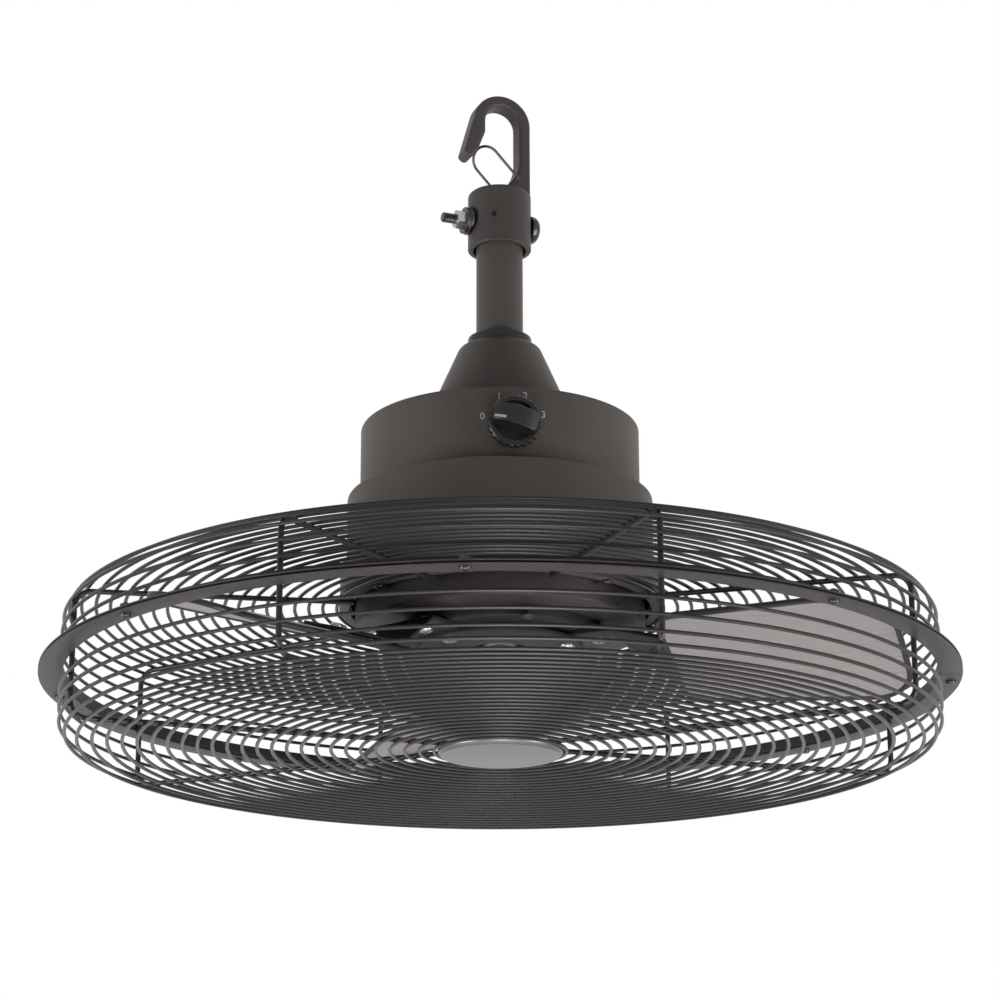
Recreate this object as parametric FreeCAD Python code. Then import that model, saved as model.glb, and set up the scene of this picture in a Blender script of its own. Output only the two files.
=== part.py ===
"""Portable ceiling fan: a caged fan that hangs from a snap hook on a short rod.

Millimetres, +Z up. The origin is the hanging point, inside the crown of the hook,
on the fan's axis. The speed knob faces -Y. Angles are in degrees from +X.
"""
import FreeCAD
import Part
import math
import os

from FreeCAD import Placement, Rotation, Vector

# Clearances
RUN_FIT = 0.05            # radial, shaft in bore
SEAT_GAP = 0.05           # pieces that rest on or weld to each other
HOLE_GAP = 0.15           # radial, screw shank in its hole
MOVE_GAP = 0.5            # between parts that turn past each other

# Hook, its socket and the wire gate
hook_inner_radius = 10.6
hook_bar_width = 6.8
hook_bar_depth = 12.0
hook_edge_radius = 1.8
hook_reach = 54.2         # hanging point to the top of the socket
hook_turn = 22.0          # the hook's plane, turned about the rod
hook_foot_radius = 22.0   # blend of the shank into the socket
nose_angle = 15.6         # the nose leans out from the shank's direction
nose_length = 28.0
nose_inner_straight = 7.0
nose_tip_width = 5.0
nose_tip_radius = 2.5
nose_swell = 1.0          # how much wider than the bar the nose is above its tip
collar_radius = 18.2
collar_length = 35.1
collar_top_wall = 7.0
collar_edge_radius = 2.5
collar_mouth_gap = 2.0    # relief round the rod at the mouth
collar_mouth_depth = 6.0
collar_mouth_edge = 0.8
gate_wire_radius = 0.8
gate_bend_radius = 1.3
gate_pivot_out = 2.2      # pivot axis in the foot's blend, nearer to the nose than the shank
gate_pivot_up = 8.4       # pivot height above the socket, at the front
gate_pivot_drop = 5.2     # how much lower the pivot leaves at the back
gate_pivot_shift = 4.4    # how much nearer to the nose it leaves at the back
gate_pin_length = 5.0

# Cross bolt and set screw of the socket
bolt_radius = 3.0
bolt_head_radius = 8.2
bolt_head_height = 5.5
bolt_head_round = 0.8     # rounding of the head over its height
bolt_tail = 8.0           # thread past the nut
washer_radius = 8.2
lock_washer_height = 2.6
washer_height = 1.6
plain_washer_radius = 7.8
bolt_nut_flats = 10.0
bolt_nut_height = 5.0
set_screw_radius = 2.0
set_screw_socket = 1.8    # across the flats
set_screw_angle = -99.0

# Rod, seal and the cone over the coupling
rod_radius = 13.35
rod_wall = 2.6
rod_exposed = 53.9        # between the socket and the seal
seal_radius = 18.1
seal_height = 5.4
seal_edge_radius = 0.8
cover_height = 50.7
cover_top_radius = 22.4
cover_base_radius = 44.4
cover_shoulder_radius = 4.0
cover_wall = 1.3
coupling_radius = 18.5
coupling_height = 40.0
coupling_socket = 28.0
coupling_base_radius = 32.0
coupling_base_height = 4.0
coupling_fillet_radius = 3.0
coupling_edge_radius = 1.5
pin_radius = 3.0
pin_head_radius = 4.6
pin_height = 20.0         # above the switch housing
clip_wire_radius = 0.8
clip_start = 5.0          # straight leg ahead of the pin's axis
clip_reach = 7.5          # legs past the pin's axis

# Switch housing and motor housing
switch_radius = 78.2
switch_height = 41.0
motor_side_space = 16.2   # wall of the motor housing outside the rotor
motor_height = 67.3
motor_band_swell = 3.4    # lower band outside the wall
motor_band_height = 27.6
motor_band_step = 2.5
motor_band_blend = 1.5
motor_round_radius = 8.0
motor_opening_gap = 3.5   # opening of the motor housing round the rotor
shell_wall = 1.5
top_plate = 2.0
top_edge_radius = 1.6
sleeve_radius = 13.0

# Speed switch, knob, capacitor and cord gland
knob_angle = -84.5
knob_drop = 21.7          # knob axis below the top of the switch housing
knob_radius = 14.5
knob_rim_height = 4.5
knob_rim_straight = 0.75  # straight side of the skirt over its height
knob_rim_ratio = 0.93     # end of the skirt's bevel over the knob's radius
knob_depth = 15.0
knob_hole_ratio = 0.65    # depth of the spindle's hole over the knob's depth
knob_grip_width = 11.2
knob_scallops = 24
knob_scallop_radius = 1.1
knob_scallop_out = 0.4    # centre of a scallop outside the skirt
knob_face_ratio = 0.78    # dished face over the knob's radius
knob_dish_ratio = 0.92    # floor of the dish over the face's radius
knob_grip_taper = 0.85    # width of the grip at its pointer end
knob_grip_ratio = 0.86    # reach of the grip over the knob's radius
knob_grip_corner = 2.8
knob_crown_ratio = 1.3    # curve of the grip's top over the knob's radius
knob_edge_radius = 0.9
knob_rest_angle = 75.0    # pointer left of straight up, at off
switch_body_size = 24.0
switch_body_depth = 15.0
switch_body_corner = 3.0
bushing_radius = 4.6
spindle_radius = 3.0
spindle_reach = 0.6       # length inside the knob over the knob's depth
spindle_flat_ratio = 0.5
switch_nut_flats = 12.0
switch_nut_height = 1.8
capacitor_size = (34.0, 18.0, 27.0)
capacitor_angle = 150.0
capacitor_reach = 50.0
gland_angle = 90.0
gland_bore_radius = 3.75
gland_body_radius = 6.0
gland_flange_radius = 8.5
gland_flange_height = 5.0
gland_inner_length = 7.0
gland_nut_flats = 17.0
gland_nut_height = 3.5

# Motor: fixed shaft and stator, outer rotor in two bells
shaft_radius = 8.5
shaft_bore_radius = 5.0
shaft_shoulder_radius = 10.0
shaft_flange_radius = 22.0
shaft_flange_height = 4.0
shaft_thread = 10.0       # in the coupling
bell_radius = 69.0
bell_wall = 3.0
bell_drop = 13.5          # below the motor housing
bell_height = 50.0
bell_hub_radius = 24.0
bell_edge_radius = 3.0
bell_crown_radius = 4.0
vent_width = 6.0
vent_margin = 6.0
vent_corner_radius = 2.5
bearing_radius = 20.0
bearing_height = 12.0
bearing_inset = 2.0
bearing_race = 4.0
clip_ring_radius = 13.0
clip_ring_height = 1.5
rotor_thickness = 11.0
rotor_height = 22.0
air_gap = 0.6
stator_height = 20.0
stator_slots = 18
slot_depth = 18.0
slot_width = 6.0
winding_height = 8.0
winding_inner_radius = 30.0
winding_outer_radius = 50.0
bell_screw_count = 3
bell_screw_radius = 2.0

# Blades and their arms
blade_count = 3
blade_start = -16.0
blade_pitch = 17.5
blade_drop = 32.7         # pitch axis below the motor housing
blade_root = 97.0
blade_tip = 222.0
blade_lead = 49.7
blade_trail_root = 41.6
blade_trail_tip = 53.0
blade_corner_radius = 25.0
blade_root_radius = 12.0
blade_thickness = 2.0
blade_camber = 2.0
arm_thickness = 2.5
arm_foot_inner = 30.0
arm_foot_outer = 66.0
arm_foot_width = 36.0
arm_foot_taper = 0.6
arm_foot_corner = 3.0
arm_pad_lead = 2.0        # pad starts ahead of the blade's root
arm_pad_end = 130.0
arm_pad_width = 44.0
arm_corner_radius = 8.0
arm_screw_radii = (38.0, 56.0)
arm_screw_radius = 2.2
clamp_inner_radius = 16.0
clamp_outer_radius = 45.0
clamp_height = 2.2
clamp_edge_radius = 0.8
blade_screw_radius = 1.8
blade_screw_places = ((107.0, -13.0), (107.0, 13.0), (122.0, 0.0))
screw_head_ratio = 1.9    # head radius over shank radius
screw_head_height = 2.0
screw_head_flat = 0.7     # flat of the head over its radius
screw_head_edge = 0.4     # straight side of the head over its height
nut_trim_ratio = 0.6      # how far the corners of a nut are turned off

# Wire guard
guard_wall_radius = 238.2  # wire centre of the wall rings
ring_wire_radius = 1.0
rib_wire_radius = 1.5
rib_count = 8
rib_start = -71.3
rib_bend_radius = 9.0
upper_guard_depth = 38.8   # motor housing to the rim's parting plane
lower_guard_depth = 36.1   # parting plane to the bottom rings
guard_rise = 6.0           # the top of the guard climbs to the motor housing
top_ring_count = 19
top_ring_gap = 1.6         # first top ring outside the motor housing's band
top_ring_outer = 228.6
bottom_ring_count = 25
inner_ring_count = 13      # bottom rings of the inner half
bottom_ring_inner = 36.1
bottom_ring_pitch = 8.0
wall_ring_count = 3
wall_ring_pitch = 8.2
upper_wall_ring_lift = 12.7   # first wall ring above the parting plane
lower_wall_ring_drop = 10.8   # first wall ring below the parting plane
rim_width = 13.0
rim_sheet = 1.2
rim_leg_height = 6.2
rim_fold_radius = 1.0
rim_screw_inset = 5.5
rim_screw_radius = 1.5
rim_nut_flats = 5.5
rim_nut_height = 2.4
mount_plate_sheet = 1.6
mount_plate_margin = 4.7   # outside the motor housing's band
mount_screw_count = 4
mount_screw_radius = 2.0
mount_screw_inset = 4.6
cap_radius = 34.3
cap_face_radius = 32.4
cap_drop = 2.8
rib_on_cap = 12.0

# Levels, from the hook down
arch_z = -hook_inner_radius
collar_top = -hook_reach
collar_bottom = collar_top - collar_length
seal_top = collar_bottom - rod_exposed
cover_top = seal_top - seal_height
switch_top = cover_top - cover_height
motor_top = switch_top - switch_height
motor_bottom = motor_top - motor_height
rim_z = motor_bottom - upper_guard_depth
bottom_z = rim_z - lower_guard_depth
bolt_z = (collar_top + collar_bottom) / 2 - bolt_radius / 2
bell_bottom = motor_bottom - bell_drop
bell_top = bell_bottom + bell_height
bell_joint = (bell_bottom + bell_top) / 2
blade_z = motor_bottom - blade_drop

# Radii and heights that follow
hook_outer_radius = hook_inner_radius + hook_bar_width
rod_socket_radius = rod_radius + RUN_FIT
shaft_hole_radius = shaft_radius + RUN_FIT
motor_radius = bell_radius + motor_side_space
motor_band_radius = motor_radius + motor_band_swell
motor_opening_radius = bell_radius + motor_opening_gap
rotor_outer_radius = bell_radius - bell_wall
rotor_inner_radius = rotor_outer_radius - rotor_thickness
stator_radius = rotor_inner_radius - air_gap
arm_pad_start = blade_root - arm_pad_lead
mount_plate_radius = motor_band_radius + mount_plate_margin
top_ring_inner = motor_band_radius + top_ring_gap
wire_step = rib_wire_radius + ring_wire_radius + SEAT_GAP
rib_wall_radius = guard_wall_radius - wire_step
rim_inner_radius = rib_wall_radius + rib_wire_radius + SEAT_GAP
rim_outer_radius = rim_inner_radius + rim_width
rim_screw_circle = rim_outer_radius - rim_screw_inset
rib_bend_center = rib_wall_radius - rib_bend_radius
guard_slope = math.atan2(guard_rise, top_ring_outer - top_ring_inner)
ring_bend_radius = rib_bend_radius + wire_step
rib_seat_z = motor_bottom + rib_wire_radius + SEAT_GAP
lower_rib_z = bottom_z + wire_step
lower_bend_z = lower_rib_z + rib_bend_radius
knob_z = switch_top - knob_drop


def ring(outer, inner, low, high):
    """Plain round ring about the fan's axis."""
    body = Part.makeCylinder(outer, high - low, Vector(0, 0, low))
    if inner > 0:
        body = body.cut(Part.makeCylinder(inner, high - low, Vector(0, 0, low)))
    return body


def rod_between(start, end, radius):
    """Round bar between two points."""
    return Part.makeCylinder(radius, (end - start).Length, start, end - start)


def outline(corners, plane):
    """Closed wire through corners (a, b, radius); plane maps a, b to a point."""
    points = [Vector(a, b, 0) for a, b, _ in corners]
    edges = []
    ends = []
    for i, (_, _, radius) in enumerate(corners):
        corner = points[i]
        back = (points[i - 1] - corner).normalize()
        ahead = (points[(i + 1) % len(points)] - corner).normalize()
        if radius == 0:
            ends.append((corner, None, corner))
            continue
        half = back.getAngle(ahead) / 2
        middle = (back + ahead).normalize()
        center = corner + middle * (radius / math.sin(half))
        reach = radius / math.tan(half)
        ends.append((corner + back * reach, center - middle * radius, corner + ahead * reach))
    place = [[plane(p.x, p.y) if p else None for p in end] for end in ends]
    for i, (start, middle, end) in enumerate(place):
        if middle:
            edges.append(Part.Arc(start, middle, end).toShape())
        following = place[(i + 1) % len(place)][0]
        if (following - end).Length > 1e-6:
            edges.append(Part.LineSegment(end, following).toShape())
    return Part.Wire(Part.__sortEdges__(edges))


def turned(corners):
    """Solid of revolution about Z from (radius, height, corner radius) corners."""
    face = Part.Face(outline(corners, lambda r, z: Vector(r, 0, z)))
    return face.revolve(Vector(0, 0, 0), Vector(0, 0, 1), 360)


def plate(corners, low, high):
    """Flat plate from (x, y, corner radius) corners."""
    face = Part.Face(outline(corners, lambda x, y: Vector(x, y, low)))
    return face.extrude(Vector(0, 0, high - low))


def hexagon(flats, low, high):
    """Hexagonal prism, sharp, about Z."""
    across = flats / math.sqrt(3)
    corners = [(across * math.cos(a), across * math.sin(a), 0)
               for a in (math.radians(60 * i) for i in range(6))]
    return plate(corners, low, high)


def hex_nut(flats, bore, low, high):
    """Hexagonal nut with its corners turned off at both ends."""
    across = flats / math.sqrt(3)
    trim = (across - flats / 2) * nut_trim_ratio
    turned_limit = turned([(0, low, 0), (flats / 2, low, 0), (across, low + trim, 0),
                           (across, high - trim, 0), (flats / 2, high, 0), (0, high, 0)])
    body = hexagon(flats, low, high).common(turned_limit)
    return body.cut(Part.makeCylinder(bore, high - low, Vector(0, 0, low)))


def pan_screw(radius, length):
    """Pan-head screw: shank up from z = 0, head below it."""
    head_radius = radius * screw_head_ratio
    dome = turned([(0, -screw_head_height, 0), (head_radius * screw_head_flat, -screw_head_height, 0),
                   (head_radius, -screw_head_height * screw_head_edge, 0), (head_radius, 0, 0), (0, 0, 0)])
    return dome.fuse(Part.makeCylinder(radius, length)).removeSplitter()


def moved(shape, placement):
    """Copy of a shape at a placement."""
    copy = shape.copy()
    copy.Placement = placement.multiply(copy.Placement)
    return copy


def turn(shape, angle):
    """Copy of a shape turned about the fan's axis."""
    return moved(shape, Placement(Vector(0, 0, 0), Rotation(Vector(0, 0, 1), angle)))


def around(shape, count, start):
    """Copies of a shape, evenly spaced about the fan's axis."""
    return [turn(shape, start + i * 360.0 / count) for i in range(count)]


def outward(angle, height):
    """Placement whose local Z points out of the housing at an angle, local Y up."""
    a = math.radians(angle)
    out = Vector(math.cos(a), math.sin(a), 0)
    right = Vector(-math.sin(a), math.cos(a), 0)
    turn_out = Rotation(right, Vector(0, 0, 1), out, "ZYX")
    return Placement(Vector(0, 0, height), turn_out)


def wire_bar(edges, radius):
    """Round wire along joined edges."""
    path = Part.Wire(edges)
    start = edges[0].Vertexes[0].Point
    ahead = edges[0].tangentAt(edges[0].FirstParameter)
    section = Part.Wire(Part.makeCircle(radius, start, ahead))
    return path.makePipeShell([section], True, False)


def in_hook_plane(shape):
    """Turn a shape from the hook's own plane (local XZ) into place."""
    return turn(shape, hook_turn)


def hook_corners():
    """Outer end of the arch, nose outline and the foot of the shank, in the hook's plane."""
    lean = math.radians(nose_angle)
    down = Vector(-math.sin(lean), 0, -math.cos(lean))
    across = Vector(math.cos(lean), 0, -math.sin(lean))
    arch_end = Vector(-math.cos(lean), 0, math.sin(lean)) * hook_outer_radius + Vector(0, 0, arch_z)
    tip_outer = arch_end + down * nose_length
    tip_inner = tip_outer + across * nose_tip_width + down * (nose_tip_width / 3)
    straight_end = Vector(-hook_inner_radius, 0, arch_z - nose_inner_straight)
    slant_end = tip_outer + across * (hook_bar_width + nose_swell) - down * nose_tip_width
    return arch_end, tip_outer, tip_inner, slant_end, straight_end


def gate_frame():
    """Gate pivot: middle, axis towards the back, and the direction of the closed loop."""
    inner = hook_inner_radius - gate_pivot_out
    half = hook_bar_depth / 2
    front = Vector(inner, -half, collar_top + gate_pivot_up)
    back = Vector(inner - gate_pivot_shift, half, collar_top + gate_pivot_up - gate_pivot_drop)
    middle = (front + back) * 0.5
    axis = (back - front).normalize()
    _, _, _, slant_end, straight_end = hook_corners()
    target = (slant_end + straight_end) * 0.5
    aim = target - middle
    aim = (aim - axis * aim.dot(axis)).normalize()
    slant = (straight_end - slant_end).normalize()
    facing = Vector(slant.z, 0, -slant.x)
    stand_off = gate_wire_radius + HOLE_GAP
    reach = ((target - middle).dot(facing) + stand_off) / aim.dot(facing)
    return middle, axis, aim, reach


def hook():
    """Cast hook: arched bar with a leaning nose, on a socket for the rod."""
    arch_end, tip_outer, tip_inner, slant_end, straight_end = hook_corners()
    half_sweep = math.radians(180 - nose_angle) / 2
    outer_mid = Vector(math.cos(half_sweep), 0, math.sin(half_sweep)) * hook_outer_radius
    arch_center = Vector(0, 0, arch_z)
    buried = collar_top - collar_top_wall / 2
    foot_inner = hook_inner_radius - hook_foot_radius
    foot_center = Vector(foot_inner, 0, collar_top + hook_foot_radius)
    foot_mid = foot_center + Vector(1, 0, -1).normalize() * hook_foot_radius
    outer_low = Vector(hook_outer_radius, 0, buried)
    outer_top = Vector(hook_outer_radius, 0, arch_z)
    inner_left = Vector(-hook_inner_radius, 0, arch_z)
    inner_right = Vector(hook_inner_radius, 0, arch_z)
    shank_end = Vector(hook_inner_radius, 0, collar_top + hook_foot_radius)
    foot_end = Vector(foot_inner, 0, collar_top)
    foot_low = Vector(foot_inner, 0, buried)
    edges = [
        Part.LineSegment(outer_low, outer_top).toShape(),
        Part.Arc(outer_top, arch_center + outer_mid, arch_end).toShape(),
        Part.LineSegment(arch_end, tip_outer).toShape(),
        Part.LineSegment(tip_outer, tip_inner).toShape(),
        Part.LineSegment(tip_inner, slant_end).toShape(),
        Part.LineSegment(slant_end, straight_end).toShape(),
        Part.LineSegment(straight_end, inner_left).toShape(),
        Part.Arc(inner_left, Vector(0, 0, 0), inner_right).toShape(),
        Part.LineSegment(inner_right, shank_end).toShape(),
        Part.Arc(shank_end, foot_mid, foot_end).toShape(),
        Part.LineSegment(foot_end, foot_low).toShape(),
        Part.LineSegment(foot_low, outer_low).toShape(),
    ]
    face = Part.Face(Part.Wire(edges))
    half = hook_bar_depth / 2
    bar = moved(face.extrude(Vector(0, hook_bar_depth, 0)), Placement(Vector(0, -half, 0), Rotation()))
    tip_points = (tip_outer, tip_inner, slant_end, straight_end)
    tip_edges = [e for e in bar.Edges if any(
        abs(e.CenterOfMass.x - p.x) < 1e-4 and abs(e.CenterOfMass.z - p.z) < 1e-4 for p in tip_points)]
    bar = bar.makeFillet(nose_tip_radius, tip_edges)
    rim = [e for e in bar.Edges if abs(abs(e.CenterOfMass.y) - half) < 1e-4
           and e.CenterOfMass.z > collar_top + hook_edge_radius]
    bar = bar.makeFillet(hook_edge_radius, rim)
    socket = turned([
        (0, collar_top, 0), (collar_radius, collar_top, collar_edge_radius),
        (collar_radius, collar_bottom, collar_mouth_edge),
        (rod_socket_radius + collar_mouth_gap, collar_bottom, 0),
        (rod_socket_radius, collar_bottom + collar_mouth_depth, 0),
        (rod_socket_radius, collar_top - collar_top_wall, 0), (0, collar_top - collar_top_wall, 0)])
    body = in_hook_plane(bar.fuse(socket).removeSplitter())
    middle, axis, _, _ = gate_frame()
    reach = axis * hook_bar_depth
    pivot = rod_between(middle - reach, middle + reach, gate_wire_radius + RUN_FIT)
    side = Vector(collar_radius * 2, 0, 0)
    level = Vector(0, 0, bolt_z)
    cross = rod_between(level - side, level + side, bolt_radius + HOLE_GAP)
    screw_out = turn(rod_between(level, level + side, set_screw_radius), set_screw_angle)
    return body.cut(in_hook_plane(pivot)).cut(in_hook_plane(cross)).cut(screw_out)


def gate():
    """Sprung wire gate: two legs on a cross pivot, joined by a round loop at the nose."""
    middle, axis, aim, reach = gate_frame()
    oblique = math.hypot(axis.x, axis.z) / axis.y
    hole_end = hook_bar_depth / 2 / axis.y + gate_wire_radius * oblique
    spread = hole_end + gate_bend_radius + RUN_FIT
    leg = reach - spread

    def at(side, along):
        return middle + axis * side + aim * along

    bend = gate_bend_radius
    diagonal = bend * (1 - math.sqrt(0.5))
    start = spread - gate_pin_length
    edges = [
        Part.LineSegment(at(-start, 0), at(-spread + bend, 0)).toShape(),
        Part.Arc(at(-spread + bend, 0), at(-spread + diagonal, diagonal), at(-spread, bend)).toShape(),
        Part.LineSegment(at(-spread, bend), at(-spread, leg)).toShape(),
        Part.Arc(at(-spread, leg), at(0, reach), at(spread, leg)).toShape(),
        Part.LineSegment(at(spread, leg), at(spread, bend)).toShape(),
        Part.Arc(at(spread, bend), at(spread - diagonal, diagonal), at(spread - bend, 0)).toShape(),
        Part.LineSegment(at(spread - bend, 0), at(start, 0)).toShape(),
    ]
    return in_hook_plane(wire_bar(edges, gate_wire_radius))


def across_socket(shape):
    """Put a piece that is made along Z on the cross bolt's axis, local Z to the nut side."""
    lay_down = Placement(Vector(0, 0, bolt_z), Rotation(Vector(0, 1, 0), -90))
    return in_hook_plane(moved(shape, lay_down))


def hook_bolt():
    """Button-head bolt through the socket and the rod, with a turned-down thread end."""
    nut_end = collar_radius + lock_washer_height + washer_height + bolt_nut_height + bolt_tail
    head = turned([(0, -collar_radius - bolt_head_height, 0),
                   (bolt_head_radius, -collar_radius - bolt_head_height, bolt_head_height * bolt_head_round),
                   (bolt_head_radius, -collar_radius, 0), (0, -collar_radius, 0)])
    shank = turned([(0, -collar_radius, 0), (bolt_radius, -collar_radius, 0),
                    (bolt_radius, nut_end, bolt_radius / 4), (0, nut_end, 0)])
    return across_socket(head.fuse(shank).removeSplitter())


def hook_bolt_washers():
    """Thick lock washer and plain washer under the nut."""
    bore = bolt_radius + HOLE_GAP
    first = collar_radius + lock_washer_height
    lock = turned([(bore, collar_radius, 0), (washer_radius, collar_radius, 0),
                   (washer_radius, first, lock_washer_height / 4), (bore, first, 0)])
    plain = ring(plain_washer_radius, bore, first, first + washer_height)
    return Part.makeCompound([across_socket(lock), across_socket(plain)])


def hook_nut():
    """Hexagonal nut on the cross bolt."""
    low = collar_radius + lock_washer_height + washer_height
    return across_socket(hex_nut(bolt_nut_flats, bolt_radius, low, low + bolt_nut_height))


def collar_set_screw():
    """Socket set screw that stops the rod from turning."""
    length = collar_radius - rod_radius - set_screw_radius / 2
    body = Part.makeCylinder(set_screw_radius, length).cut(
        hexagon(set_screw_socket, length - set_screw_socket, length))
    lift = Placement(Vector(0, 0, rod_radius + SEAT_GAP), Rotation())
    return moved(moved(body, lift), outward(set_screw_angle, bolt_z))


def downrod():
    """Pipe between the hook's socket and the coupling, drilled for bolt and pin."""
    high = collar_top - collar_top_wall - SEAT_GAP
    low = switch_top + coupling_height - coupling_socket + SEAT_GAP
    pipe = ring(rod_radius, rod_radius - rod_wall, low, high)
    side = Vector(rod_radius * 2, 0, 0)
    level = Vector(0, 0, bolt_z)
    cross = in_hook_plane(rod_between(level - side, level + side, bolt_radius + HOLE_GAP))
    pin_level = Vector(0, 0, switch_top + pin_height)
    pin_hole = rod_between(pin_level - side, pin_level + side, pin_radius + HOLE_GAP)
    return pipe.cut(cross).cut(pin_hole)


def rod_seal():
    """Ring that closes the top of the cone round the rod."""
    return turned([(rod_socket_radius, cover_top, 0), (seal_radius, cover_top, seal_edge_radius / 2),
                   (seal_radius, seal_top, seal_edge_radius), (rod_socket_radius, seal_top, 0)])


def yoke_cover():
    """Sheet cone over the coupling, open below, with a rounded shoulder."""
    hole = rod_radius + MOVE_GAP
    shoulder = cover_shoulder_radius
    outer = [(hole, cover_top, 0), (cover_top_radius, cover_top, shoulder),
             (cover_base_radius, switch_top, 0)]
    inner = [(cover_base_radius - cover_wall, switch_top, 0),
             (cover_top_radius - cover_wall, cover_top - cover_wall, shoulder - cover_wall),
             (hole, cover_top - cover_wall, 0)]
    return turned(outer + inner)


def rod_coupling():
    """Flanged coupling on the shaft's thread, with the rod's socket and pin hole."""
    high = switch_top + coupling_height
    floor = high - coupling_socket
    body = turned([
        (shaft_hole_radius, switch_top, 0), (coupling_base_radius, switch_top, 0),
        (coupling_base_radius, switch_top + coupling_base_height, coupling_edge_radius),
        (coupling_radius, switch_top + coupling_base_height, coupling_fillet_radius),
        (coupling_radius, high, coupling_edge_radius),
        (rod_socket_radius, high, 0), (rod_socket_radius, floor, 0), (shaft_hole_radius, floor, 0)])
    side = Vector(coupling_radius * 2, 0, 0)
    level = Vector(0, 0, switch_top + pin_height)
    return body.cut(rod_between(level - side, level + side, pin_radius + HOLE_GAP))


def coupling_pin():
    """Headed clevis pin through the coupling and the rod, drilled for its clip."""
    tail = coupling_radius + clip_wire_radius * 5
    head_end = -coupling_radius - pin_radius
    pin = turned([(0, head_end, 0), (pin_head_radius, head_end, 0),
                  (pin_head_radius, -coupling_radius, 0), (pin_radius, -coupling_radius, 0),
                  (pin_radius, tail, pin_radius / 5), (0, tail, 0)])
    hole_z = coupling_radius + clip_wire_radius * 2
    hole = rod_between(Vector(0, -pin_radius * 2, hole_z), Vector(0, pin_radius * 2, hole_z),
                       clip_wire_radius + HOLE_GAP)
    lay_down = Placement(Vector(0, 0, switch_top + pin_height), Rotation(Vector(0, 1, 0), 90))
    return moved(pin.cut(hole), lay_down)


def coupling_clip():
    """Hairpin clip: one straight leg through the pin, one leg bent round it."""
    x = coupling_radius + clip_wire_radius * 2
    z = switch_top + pin_height
    hump = pin_radius + clip_wire_radius + SEAT_GAP
    far = clip_reach
    bow = hump / 2
    edges = [
        Part.LineSegment(Vector(x, -clip_start, z), Vector(x, far, z)).toShape(),
        Part.Arc(Vector(x, far, z), Vector(x, far + bow, z + bow), Vector(x, far, z + hump)).toShape(),
        Part.LineSegment(Vector(x, far, z + hump), Vector(x, -pin_radius, z + hump)).toShape(),
    ]
    return wire_bar(edges, clip_wire_radius)


def switch_housing():
    """Round drawn shell over the speed switch, open below, with knob and gland holes."""
    shell = turned([
        (shaft_hole_radius, switch_top, 0), (switch_radius, switch_top, top_edge_radius),
        (switch_radius, motor_top, 0), (switch_radius - shell_wall, motor_top, 0),
        (switch_radius - shell_wall, switch_top - top_plate, 0),
        (shaft_hole_radius, switch_top - top_plate, 0)])
    reach = switch_radius * 1.5
    knob_hole = moved(Part.makeCylinder(bushing_radius + HOLE_GAP, reach), outward(knob_angle, knob_z))
    gland_hole = moved(Part.makeCylinder(gland_body_radius + HOLE_GAP, reach), outward(gland_angle, knob_z))
    return shell.cut(knob_hole).cut(gland_hole)


def spacer_sleeve():
    """Sleeve on the shaft that holds the two housings apart."""
    return ring(sleeve_radius, shaft_hole_radius, motor_top, switch_top - top_plate)


def switch_seat():
    """Distance from the axis at which the switch's corners meet the inside of the shell."""
    inside = switch_radius - shell_wall
    return math.sqrt(inside ** 2 - (switch_body_size / 2) ** 2) - SEAT_GAP


def speed_switch():
    """Rotary switch inside the shell, its threaded bushing through the wall."""
    half = switch_body_size / 2
    corner = switch_body_corner
    front = switch_seat()
    nut_top = switch_radius + switch_nut_height
    body = plate([(-half, -half, corner), (half, -half, corner), (half, half, corner), (-half, half, corner)],
                 front - switch_body_depth, front)
    bushing = Part.makeCylinder(bushing_radius, nut_top - front, Vector(0, 0, front))
    bore = Part.makeCylinder(spindle_radius + RUN_FIT, nut_top, Vector(0, 0, front - switch_body_depth / 2))
    return moved(body.fuse(bushing).removeSplitter().cut(bore), outward(knob_angle, knob_z))


def switch_nut():
    """Nut on the switch's bushing, outside the shell and under the knob."""
    return moved(hex_nut(switch_nut_flats, bushing_radius, switch_radius + SEAT_GAP,
                         switch_radius + switch_nut_height), outward(knob_angle, knob_z))


def knob_base():
    """Distance from the axis to the back of the knob."""
    return switch_radius + switch_nut_height + MOVE_GAP


def switch_spindle():
    """Spindle of the switch, with a flat for the knob."""
    start = switch_seat() - switch_body_depth / 2 + MOVE_GAP
    end = knob_base() + knob_depth * spindle_reach
    spindle = Part.makeCylinder(spindle_radius, end - start, Vector(0, 0, start))
    flat = Part.makeBox(spindle_radius * 2, spindle_radius * 2, knob_depth,
                        Vector(-spindle_radius, spindle_radius * spindle_flat_ratio, knob_base()))
    turn_to_off = Placement(Vector(0, 0, 0), Rotation(Vector(0, 0, 1), knob_rest_angle))
    return moved(moved(spindle.cut(flat), turn_to_off), outward(knob_angle, knob_z))


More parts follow.
